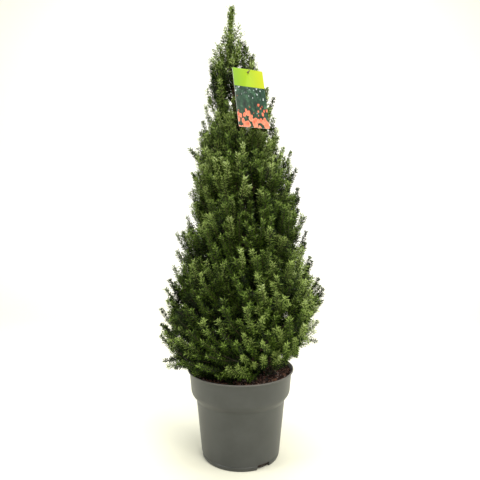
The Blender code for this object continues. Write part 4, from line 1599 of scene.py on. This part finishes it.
@dataclass
class SpruceFoliage:
    """Twigs, shoots and needles, grown mass by mass from the limbs out to the outline."""

    shape: CrownShape
    label: PlantLabel
    seed: int = 29
    seam: float = 0.018  # how far a shoot may cross into the next mass's space
    bristle: float = 0.0065  # how far the needles reach past a shoot's bud
    sag: float = 0.055
    twist: float = -0.40  # how far the shoots turn about the stem as they climb
    fresh_shares: tuple[float, float] = (0.42, 0.72)  # shares of a shoot that are this year's
    branchlets: int = 8
    hollow: float = 0.22  # how far the shoots between two groups stay back
    group_pitch: float = 17.0
    open_side: tuple[float, float, float] = (-75.0, 45.0, 0.284)  # azimuths and lowest tips there
    stem_gap: float = 0.008  # how far the shoots keep off the stem
    gap_depth: float = 0.08  # how far from the widest outline a gap of sky goes in
    side_places: tuple[float, float] = (0.28, 0.45)  # where side shoots start, and over how much
    side_spread: tuple[float, float] = (20.0, 36.0)
    side_lengths: tuple[float, float] = (0.28, 0.46)  # shares of their shoot
    spiral: float = 2.4  # radians from one side shoot to the next
    limb_radius: float = 0.0035
    slim_limb_radius: float = 0.0028  # where no bough of the frame carries the mass
    branchlet_radius: float = 0.0022
    twig_radius: float = 0.0014
    twig_taper: float = 0.0002
    side_radii: tuple[float, float] = (0.0009, 0.0006)
    bare_twig: float = 0.012  # a twig that is longer than this bears old needles
    fullness: tuple[float, float] = (0.94, 1.12)
    sunny_fullness: float = 1.08
    stem_anchors: tuple[float, ...] = (0.93, 0.95, 0.97, 0.985)
    leader_knots: tuple[float, ...] = (0.9953, 1.02, 1.04, 1.065, 1.09, 1.11, 1.13, 1.148)
    leader_radius: float = 0.0029
    leader_taper: float = 0.0003
    flushes: int = 9  # of needles on the leader, each over the last
    flush_foot: float = 0.984
    flush_step: float = 0.0172
    flush_length: float = 0.028
    short_shoots: int = 40  # along the leader
    short_foot: float = 0.985
    short_span: float = 0.150
    shoots: list[Shoot] = field(default_factory=list)
    twigs: dict[str, MeshBuilder] = field(default_factory=lambda: defaultdict(MeshBuilder))
    draw: random.Random = field(init=False)

    def __post_init__(self) -> None:
        """Start the seeded draw."""
        self.draw = random.Random(self.seed)

    def pick(self, shares: Shares) -> Tint:
        """Draw one tint by its share."""
        return self.draw.choices([tint for tint, _ in shares], [share for _, share in shares])[0]

    def arc(self, root: Vector, end: Vector, sag: float, steps: int) -> list[Vector]:
        """Bend a line that climbs more and more towards its end.

        Args:
            root: Where it starts.
            end: Where it ends.
            sag: How far its middle hangs below the straight line, as a share of its length.
            steps: Number of stretches.

        Returns:
            The points of the line.
        """
        drop = Vector((0.0, 0.0, 2 * sag * (end - root).length))
        return bent(root, root.lerp(end, 0.5) - drop, end, steps)

    def limbs(self, cell: Cell) -> list[Vector]:
        """Grow the limb of one mass and its branchlets, as twigs.

        Args:
            cell: The mass's space.

        Returns:
            The places that finer twigs can start from.
        """
        storey, stem = cell.storey, self.shape.stem
        wood = self.twigs[storey.name]
        if storey.name == "leader":
            line = [stem(z) for z in self.leader_knots]
            radii = [self.leader_radius - self.leader_taper * i for i in range(len(line))]
            wood.add_tube(line, radii, 6)
            return [stem(z) for z in self.stem_anchors] + line[:5]
        if storey.bough:
            start, direction = cell.bough_end()
        else:
            low = storey.floor[0]
            start = stem(low + 0.3 * (storey.roof[0] - low))
            direction = (cell.on_outline(0.0, 0.2, 0.5) - start).normalized()
        reach = cell.on_outline(0.0, 0.2, 0.72)
        middle = start + direction * 0.45 * (reach - start).length
        main = bent(start, middle, reach, 8)
        thick = self.limb_radius if storey.bough else self.slim_limb_radius
        wood.add_tube(main, [thick * (1 - 0.07 * i) for i in range(9)], 7)
        anchors = list(main[2:])
        for index in range(self.branchlets):
            across = 0.86 * (2 * ((0.5 + index * 0.618) % 1.0) - 1)
            up = 0.9 * (2 * (index + 0.5) / self.branchlets - 1)
            line = self.arc(main[1 + index % 5], cell.on_outline(across, up, 0.70), 0.05, 7)
            wood.add_tube(line, [self.branchlet_radius * (1 - 0.08 * i) for i in range(8)], 5)
            anchors += line[2:]
        return anchors

    def clear(self, cell: Cell, line: Sequence[Vector]) -> bool:
        """Tell whether a line keeps to its mass's space, off the stem and behind the label.

        Args:
            cell: The mass's space.
            line: The line's points.

        Returns:
            True if it does, and crosses no gap of sky.
        """
        for place in line:
            if not cell.holds(place, self.seam) or self.label.blocks(place):
                return False
            if abs(place.y) < self.gap_depth and any(
                (place.x - x) ** 2 + (place.z - z) ** 2 < reach**2 for x, z, reach in SKY_GAPS
            ):
                return False
            if (place - self.shape.stem(place.z)).xy.length < self.stem_gap:
                return False
        return True

    def spray(
        self,
        cell: Cell,
        tip: Vector,
        root: Vector,
        anchors: Sequence[Vector],
        layer: Layer,
        tints: tuple[Tint, Tint],
        edge: bool = False,
    ) -> None:
        """Grow one shoot, its side shoots and the twig that carries it.

        Args:
            cell: The mass that it belongs to.
            tip: Where its furthest needles end, or its bud on the crown's edge.
            root: Where its needles begin.
            anchors: Places that its twig may leave from.
            layer: The layer that it belongs to.
            tints: Its needles' tones, older and fresh.
            edge: Whether the shoot stands out of the crown, and may leave the mass's space.
        """
        direction = (tip - root).normalized()
        bud = tip if edge else tip - direction * self.bristle
        line = self.arc(root, bud, self.sag, 5)
        if self.label.blocks(line[-1]) if edge else not self.clear(cell, line):
            return
        anchor = min(anchors, key=lambda place: (place - root).length + max(0.0, place.z - root.z))
        hook = root - (line[1] - line[0]).normalized() * 0.45 * (root - anchor).length
        twig = bent(anchor, hook, root, 4)[:4]
        if any(self.label.blocks(place) for place in twig):
            return
        storey = cell.storey
        wood = self.twigs[storey.name]
        axis = [twig[0], twig[2], root, line[2], line[-1]]
        wood.add_tube(axis, [self.twig_radius - self.twig_taper * i for i in range(5)], 3)
        fullness = self.draw.uniform(*self.fullness) * (self.sunny_fullness if storey.sunny else 1)
        weave = Weave.EDGE if edge else Weave.OLD if layer.sparse else Weave.MAIN
        weave = Weave.COARSE if storey.sunny else weave
        self.shoots.append(Shoot(line, *tints, storey.name, fullness, weave))
        if (root - anchor).length > self.bare_twig:
            sort = Weave.OLD if layer.old_twigs else Weave.MAIN
            old = (tints[0].older(), tints[0])
            self.shoots.append(Shoot([*twig[1:], root], *old, storey.name, 0.8, sort))
        span = (tip - root).length
        side = direction.orthogonal().normalized()
        start = self.draw.uniform(0.0, math.tau)
        laterals = layer.laterals * (0.5 if storey.sunny else 1.0)
        count = int(laterals + self.draw.random())
        for index in range(count):
            first, extent = self.side_places
            share = first + extent * (index + self.draw.random()) / count
            turn = Matrix.Rotation(start + self.spiral * index, 3, direction)
            spread = math.radians(self.draw.uniform(*self.side_spread))
            out = direction * math.cos(spread) + (turn @ side) * math.sin(spread)
            out = (out + Vector((0.0, 0.0, 0.20))).normalized()
            foot = line[int(share * 5)].lerp(line[int(share * 5) + 1], share * 5 % 1.0)
            length = min(self.draw.uniform(*self.side_lengths) * span, (0.98 - share) * span)
            branch = self.arc(foot, foot + out * length, self.sag, 3)
            if not edge and not self.clear(cell, branch[1:]) or self.outside(branch[-1]):
                continue
            wood.add_tube(branch[::3], self.side_radii, 3)
            tip_tint = self.pick(((tints[1], 0.7), (tints[1].older(), 0.3)))
            size = 0.9 * fullness
            self.shoots.append(Shoot(branch, tints[0], tip_tint, storey.name, size, weave))

    def outside(self, end: Vector) -> bool:
        """Tell whether a side shoot's needles would stand out past the crown's outline.

        Args:
            end: The side shoot's bud.

        Returns:
            True if they would.
        """
        offset = (end - self.shape.stem(end.z)).xy
        limit = self.shape.reach(math.atan2(offset.y, offset.x), end.z)
        return offset.length > limit - 0.6 * self.bristle

    def grow(self) -> None:
        """Grow every mass, then the shoots that stand out of the crown's edge and the leader."""
        grown = {}
        for storey in STOREYS:
            for cell in cells_of(self.shape, storey):
                grown[cell] = self.limbs(cell)
                for index, layer in enumerate(LAYERS[:2] if storey.sunny else LAYERS):
                    for tip, root in self.places(cell, layer):
                        tints = self.tones(tip, index, storey.sunny)
                        self.spray(cell, tip, root, grown[cell], layer, tints)
        for row in EDGE_SHOOTS:
            tip, root = (Vector([value * MM for value in row[i : i + 3]]) for i in (0, 3))
            cell = min(grown, key=lambda c: min((root - anchor).length for anchor in grown[c]))
            bodies, tips = TOP_EDGE_TONES.get(cell.storey.name, EDGE_TONES)
            tints = (self.pick(bodies), self.pick(tips))
            self.spray(cell, tip, root, grown[cell], LAYERS[0], tints, edge=True)
        self.leader()

    def tones(self, tip: Vector, depth: int, sunny: bool) -> tuple[Tint, Tint]:
        """Draw a shoot's tones, by its layer and by the lighter or darker tints set round it, for
        growth and for painted light and shade.

        Args:
            tip: Its tip.
            depth: Its layer's number.
            sunny: Whether its storey is in full light.

        Returns:
            Its needles' tones, older and fresh.
        """
        # 1 for all light tints, 0 for common and -1 for all dark ones: fresher or duller growth,
        # and painted light and shade.
        lightness = sunny + sum(
            weight * math.exp(-(((tip.x - x) ** 2 + (tip.z - z) ** 2) / reach**2))
            for x, z, reach, weight in TINT_LIGHTNESS
        )
        chance = self.draw.random()
        darker_steps = (chance < -lightness) + (chance < -lightness - 1.0)
        tones = LAYERS[min(depth + darker_steps, 2)]
        tints = (self.pick(tones.bodies), self.pick(tones.tips))
        if chance < lightness and depth < 2 and (depth == 0 or chance < 0.5):
            tints = (self.pick(SUNNY_TONES[0]), self.pick(SUNNY_TONES[1]))
        return tints

    def places(self, cell: Cell, layer: Layer) -> Iterator[tuple[Vector, Vector]]:
        """Deal the tips of a layer evenly over a mass's outer side.

        Args:
            cell: The mass's space.
            layer: The layer.

        Yields:
            The tip and the root of a shoot.
        """
        share = sum(layer.reach) / 2
        foot, head = cell.on_outline(0.0, -1.0, share), cell.on_outline(0.0, 1.0, share)
        radius = ((foot + head) / 2 - self.shape.stem((foot.z + head.z) / 2)).xy.length
        area = 2 * cell.half_width * radius * (head - foot).length
        count = round(area / (layer.spacing * cell.storey.openness) ** 2)
        start = (self.draw.random(), self.draw.random())
        low, high = cell.storey.rise
        first, last, lowest = self.open_side
        for index in range(count):
            across = 2 * ((start[0] + index * 0.7548777) % 1.0) - 1
            up = 2 * ((start[1] + index * 0.5698403) % 1.0) - 1
            share = self.draw.uniform(*layer.reach)
            hollow = noise.noise(cell.on_outline(across, up, share) * self.group_pitch)
            tip = cell.on_outline(across, up, share - self.hollow * max(0.0, hollow))
            middle = self.shape.stem(tip.z)
            azimuth = math.atan2(tip.y - middle.y, tip.x - middle.x)
            if tip.z < lowest and first < math.degrees(azimuth) < last:
                continue
            azimuth += self.draw.gauss(self.twist, 0.30)
            climb = math.radians(low + (high - low) * (up + 1) / 2 + self.draw.gauss(0.0, 8.0))
            length = self.draw.uniform(*layer.length) * cell.storey.stature
            yield tip, tip - polar(azimuth, math.cos(climb), math.sin(climb)) * length

    def leader(self) -> None:
        """Set the leading shoot's needles, flush over flush, and the short shoots along it."""
        stem = self.shape.stem
        for index in range(self.flushes):
            low = self.flush_foot + self.flush_step * index
            line = [stem(low + self.flush_length * i / 5) for i in range(6)]
            # The leader's pale tones: partly its fresh growth, partly painted light that offsets
            # the shade of its own needles.
            tip = Tint.PALE if index % 2 else Tint.SPRING
            size = 1.36 - 0.065 * index
            self.shoots.append(Shoot(line, Tint.SPRING, tip, "leader", size, Weave.LEADER))
        for across in (-0.0032, 0.0032):
            low, high = stem(1.136), stem(1.1535) + Vector((across, 0.0, 0.0))
            line = [low.lerp(high, i / 3) for i in range(4)]
            self.shoots.append(Shoot(line, Tint.FRESH, Tint.SPRING, "leader", 0.48, Weave.COARSE))
        for index in range(self.short_shoots):
            share = index / (self.short_shoots - 1)
            root = stem(self.short_foot + self.short_span * share)
            whorl = 0.5 + 0.5 * math.cos(math.tau * (3.0 * share - 0.75))
            reach = (0.012 + 0.009 * whorl) * (1.0 - 0.62 * share)
            end = root + polar(index * self.spiral, reach, 0.018)
            if self.label.blocks(end):
                continue
            line = self.arc(root, end, 0.06, 4)
            tints = (Tint.OLIVE, Tint.FRESH) if index % 2 else (Tint.FRESH, Tint.SPRING)
            size = 1.02 - 0.14 * share
            self.shoots.append(Shoot(line, *tints, "leader", size, Weave.COARSE))

    def dress(self) -> list[bpy.types.Object]:
        """Turn the shoots into needles and the twigs into wood.

        Returns:
            The foliage's pieces.
        """
        brush = NeedleBrush()
        copies, needle = brush.copies(), brush.needle()
        finishes = {tint: NeedleWax(tint).material() for tint in Tint}
        groups = defaultdict(list)
        for shoot in self.shoots:
            for tint, weave, *rows in self.parts(shoot):
                groups[shoot.storey, tint.name.lower(), weave.name.lower()].append(rows)
        pieces = []
        for (storey, tint, kind), lines in sorted(groups.items(), key=lambda row: row[0]):
            name, weave = f"needles_{storey}_{tint}_{kind}", Weave[kind.upper()].value
            curve = bpy.data.curves.new(name, "CURVE")
            curve.dimensions = "3D"
            for rows in lines:
                spline = curve.splines.new("POLY")
                spline.points.add(len(rows[0]) - 1)
                for knot, place, size, age in zip(spline.points, *rows):
                    knot.co = (*place, 1.0)
                    knot.radius = size
                    knot.tilt = age
            values = {
                "Needle": needle,
                "Needle spacing": weave.spacing,
                "Needle length": brush.length,
                "Needle width": weave.width,
                "Lean at foot": weave.lean_at_foot,
                "Lean at bud": weave.lean_at_bud,
                "Tuft spacing": brush.tuft_spacing,
                "Tuft depth": weave.tuft_depth,
                "Turn from needle to needle": brush.golden_turn,
                "Seed": brush.seed,
                "Finish": finishes[Tint[tint.upper()]],
            }
            piece = copies.run(add_object(name, curve), name, values)
            pieces.append(settle(piece, self.masses(storey)))
        bpy.data.objects.remove(needle, do_unlink=True)
        bark = TwigBark().material()
        for storey, wood in self.twigs.items():
            piece = wood.build(f"twigs_{storey}", [bark], BARK_CREASE)
            pieces.append(settle(piece, self.masses(storey)))
        return pieces

    def masses(self, storey: str) -> list[str]:
        """Name the frame's nodes of one storey's masses.

        Args:
            storey: The storey's name.

        Returns:
            The nodes' names.
        """
        count = next(row.count for row in STOREYS if row.name == storey)
        if count == 1:
            return [f"mass_{storey}"]
        return [f"mass_{storey}_{index + 1}" for index in range(count)]

    def parts(self, shoot: Shoot) -> Iterator[tuple]:
        """Split a shoot into its older and its fresh needles, each with darker ones among them.

        Args:
            shoot: The shoot.

        Yields:
            The part's tint and weave, and its line, needle sizes and ages.
        """
        line, last = shoot.line, len(shoot.line) - 1
        body, tip, weave, mixed = shoot.body, shoot.tip, shoot.weave, Weave.MIXED
        if weave is Weave.OLD:
            yield tip, weave, line, [shoot.fullness] * (last + 1), [0.2] * (last + 1)
            return
        split = 1.0 - self.draw.uniform(*self.fresh_shares)
        if weave is Weave.LEADER:
            rows = ((body, weave, 0.0, 0.8), (tip, weave, 0.2, 1.0), (Tint.SPRING, weave, 0.5, 1.0))
        else:
            rows = (
                (body, weave, 0.0, split),
                (body.older(), mixed, 0.02, split + 0.06),
                (body, mixed, split - 0.03, split + 0.14),
                (tip, mixed, split - 0.20, split - 0.02),
                (tip, weave, split, 1.0),
                (tip.older(), mixed, split + 0.02, 0.93),
                # The ring round the bud is lighter: partly fresher needles, partly a painted
                # highlight.
                (tip.younger(), mixed, 0.90, 1.0),
            )
        for tint, kind, low, high in rows:
            shares = [low + (high - low) * i / 3 for i in range(4)]
            points = []
            for share in shares:
                step = min(last - 1, int(share * last))
                points.append(line[step].lerp(line[step + 1], share * last - step))
            if weave is Weave.LEADER:
                sizes, ages = [min(0.75 + 0.5 * s, 1.6 - 0.7 * s) for s in shares], shares
            else:
                sizes = [min(0.9 + 0.4 * s, 1.0, 2.6 - 1.7 * s) for s in shares]
                ages = [s**4 for s in shares]
            yield tint, kind, points, [shoot.fullness * size for size in sizes], ages


# ---------------------------------------------------------------- label


@dataclass(frozen=True)
class PlantLabel:
    """The printed label and the stub of twig that it hangs on."""

    shape: CrownShape
    width: float = 83.5 * MM
    height: float = 157 * MM
    thickness: float = 0.9 * MM
    bevel: float = 0.12 * MM
    corner: float = 3 * MM
    centre: tuple[float, float, float] = (0.0253, -0.0650, 0.8995)
    turn: float = math.radians(25.0)
    lean: float = math.radians(14.5)
    hole_radius: float = 2.6 * MM
    hole_drop: float = 8.8 * MM
    twig_radius: float = 2.0 * MM
    twig_height: float = 938 * MM
    twig_end: float = 9 * MM
    twig_sides: int = 10
    clearance: float = 10 * MM  # how far behind the label nothing grows
    overlap: float = 4 * MM  # how far past its edges nothing grows

    def place(self) -> Matrix:
        """The label's place: local X along its width, Y up its height, Z out of its face."""
        turn = Matrix.Rotation(self.turn, 4, "Z") @ Matrix.Rotation(math.pi / 2 - self.lean, 4, "X")
        return Matrix.Translation(self.centre) @ turn

    def blocks(self, point: Vector) -> bool:
        """Tell whether a point lies in the label or in front of it.

        Args:
            point: The point.

        Returns:
            True if it does.
        """
        local = self.place().inverted() @ point
        beside = abs(local.x) - self.width / 2
        above = abs(local.y) - self.height / 2
        return local.z > -self.clearance and beside < self.overlap and above < self.overlap

    def outline(self) -> list[Vector]:
        """Trace the card's rounded outline, anticlockwise from its right side.

        Returns:
            Its points.
        """
        points = []
        half_width, half_height = self.width / 2 - self.bevel, self.height / 2 - self.bevel
        for index, (side, up) in enumerate(((1, 1), (-1, 1), (-1, -1), (1, -1))):
            x, y = side * (half_width - self.corner), up * (half_height - self.corner)
            turns = (math.radians(90 * index + 15 * step) for step in range(7))
            points += [Vector((x, y, 0.0)) + polar(turn, self.corner, 0.0) for turn in turns]
        return points

    def card(self) -> bpy.types.Object:
        """Cut the card, print its face and leave its back plain.

        Returns:
            The card's piece.
        """
        curve = bpy.data.curves.new("label_card", "CURVE")
        curve.dimensions = "2D"
        curve.fill_mode = "BOTH"
        curve.extrude = self.thickness / 2 - self.bevel
        curve.bevel_depth = self.bevel
        curve.bevel_resolution = 2
        middle = Vector((0.0, self.height / 2 - self.hole_drop, 0.0))
        radius = self.hole_radius + self.bevel
        hole = [middle + polar(-math.tau * step / 28, radius, 0.0) for step in range(28)]
        for loop in (self.outline(), hole):
            spline = curve.splines.new("POLY")
            spline.use_cyclic_u = True
            spline.points.add(len(loop) - 1)
            for knot, point in zip(spline.points, loop):
                knot.co = (*point, 1.0)
        card = plain_mesh(add_object("label_card", curve), "label_card")
        mesh = card.data
        recalculate(mesh)
        mesh.materials.clear()
        mesh.materials.append(PrintedFilm().material())
        mesh.materials.append(PlainFilm().material())
        uv = mesh.uv_layers.new(name="print")
        for face in mesh.polygons:
            face.material_index = 0 if face.normal.z > 0.9 else 1
            for corner in face.loop_indices:
                point = mesh.vertices[mesh.loops[corner].vertex_index].co
                uv.data[corner].uv = (point.x / self.width + 0.5, point.y / self.height + 0.5)
        mesh.transform(self.place())
        mesh.shade_smooth()
        mesh.set_sharp_from_angle(angle=math.radians(25.0))
        return settle(card, ["tag"])

    def twig(self, finish: bpy.types.Material, relief: Relief) -> bpy.types.Object:
        """Grow the stub that leaves the trunk, bends and passes through the label's hole.

        Args:
            finish: The bark.
            relief: The bark's relief.

        Returns:
            The stub's piece.
        """
        place = self.place()
        hole = place @ Vector((0.0, self.height / 2 - self.hole_drop, 0.0))
        out = (place.to_3x3() @ Vector((0.0, 0.0, 1.0))).normalized()
        root = self.shape.stem(self.twig_height)
        bend = hole - out * 0.014
        middle = root.lerp(bend, 0.55) - Vector((0.0, 0.0, 0.003))
        line = (root, middle, bend, hole, hole + out * self.twig_end)
        thickness = (1.2, 1.1, 1.0, 1.0, 0.7)
        knots = [(*spot, share * self.twig_radius) for spot, share in zip(line, thickness)]
        builder = MeshBuilder()
        builder.add_limb(knots, 2.0 * MM, self.twig_sides, relief)
        stub = builder.build("label_twig_bark", [finish], BARK_CREASE)
        return settle(stub, ["tag_twig"])


# ---------------------------------------------------------------- studio


@dataclass(frozen=True)
class SoftBox:
    """One rectangular soft light."""

    name: str
    place: tuple[float, float, float]
    aim: tuple[float, float, float]
    size: tuple[float, float]
    watts: float
    colour: str = "#FFFFFF"

    def build(self) -> None:
        """Hang the light and aim it."""
        data = bpy.data.lights.new(self.name, "AREA")
        data.shape = "RECTANGLE"
        data.size, data.size_y = self.size
        data.energy = self.watts
        data.color = linear(self.colour)[:3]
        item = add_object(self.name, data)
        item.location = self.place
        aim = Vector(self.aim) - Vector(self.place)
        item.rotation_euler = aim.to_track_quat("-Z", "Y").to_euler()


@dataclass(frozen=True)
class Studio:
    """A sweep of pale paper, soft light from all sides and the camera."""

    half_width: float = 6.0
    front: float = -6.0
    back: float = 2.6
    bend: float = 1.2
    bend_steps: int = 16
    top: float = 5.0
    sky: str = "#FFFFFF"
    sky_strength: float = 0.42
    focal: float = 34.725
    sensor: float = 36.0
    camera: tuple[float, float, float] = (-0.0016, -1.2, 0.611)
    shift_y: float = -0.0504
    boxes: tuple[SoftBox, ...] = (
        SoftBox("key_box", (1.0, -2.0, 2.9), (0.0, 0.0, 0.6), (1.5, 1.5), 82.0, "#FFFBF2"),
        SoftBox("fill_box", (-2.2, -0.9, 2.3), (0.0, 0.0, 0.95), (1.2, 1.2), 44.0),
        SoftBox("side_box", (2.4, -0.7, 1.7), (0.0, 0.0, 0.85), (1.0, 1.6), 22.0),
        SoftBox("top_box", (0.2, 0.2, 3.2), (0.0, 0.0, 0.5), (2.4, 2.4), 95.0),
    )

    def build(self) -> None:
        """Set up the stage, the lights and the camera."""
        self.sweep()
        for box in self.boxes:
            box.build()
        scene = bpy.context.scene
        scene.world = bpy.data.worlds.new("studio_air")
        scene.world.use_nodes = True
        air = scene.world.node_tree.nodes["Background"]
        feed(air, {"Color": linear(self.sky), "Strength": self.sky_strength})
        scene.view_settings.view_transform = "Standard"
        data = bpy.data.cameras.new("camera")
        data.lens = self.focal
        data.sensor_width = self.sensor
        data.shift_y = self.shift_y
        scene.camera = add_object("camera", data)
        scene.camera.location = self.camera
        scene.camera.rotation_euler = (math.pi / 2, 0.0, 0.0)

    def sweep(self) -> None:
        """Roll the paper down from the wall and out over the floor."""
        start = self.back - self.bend
        section = [(self.front, 0.0), (start, 0.0)]
        for step in range(1, self.bend_steps + 1):
            angle = math.pi / 2 * step / self.bend_steps
            section.append((start + self.bend * math.sin(angle), self.bend * (1 - math.cos(angle))))
        section.append((self.back, self.top))
        builder = MeshBuilder()
        for y, z in section:
            builder.points += [Vector((-self.half_width, y, z)), Vector((self.half_width, y, z))]
        for row in range(0, 2 * len(section) - 2, 2):
            builder.faces.append((row, row + 1, row + 3, row + 2))
        builder.build("paper_sweep", [StudioPaper().material()], 40.0)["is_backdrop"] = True


def write_sizes(frame_box: tuple[Vector, Vector]) -> None:
    """Measure the frame's box and the dressed model's box.

    Args:
        frame_box: The lowest and the highest corner of the frame.
    """
    boxes = [*frame_box, *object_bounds()]
    [list(corner) for corner in boxes]


def main() -> None:
    """Load the frame, build each sub-assembly in order and report its pieces."""
    logging.basicConfig(level=logging.INFO, format="%(name)s: %(message)s")
    noise.seed_set(FLAKE_SEED)
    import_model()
    frame_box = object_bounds()
    shape = CrownShape()
    pot = NurseryPot()
    pot.build()
    BarkSoil(pot).build()
    bark = SpruceBark().material()
    wood = SpruceWood(shape)
    wood.trunk(bark)
    wood.boughs(bark)
    label = PlantLabel(shape)
    label.card()
    label.twig(bark, wood.relief)
    foliage = SpruceFoliage(shape, label)
    foliage.grow()
    pieces = foliage.dress()
    triangles = sum(len(p.vertices) - 2 for piece in pieces for p in piece.data.polygons)
    log.info("foliage: %d shoots, %d triangles", len(foliage.shoots), triangles)
    Studio().build()
    write_sizes(frame_box)


if __name__ == "__main__":
    main()
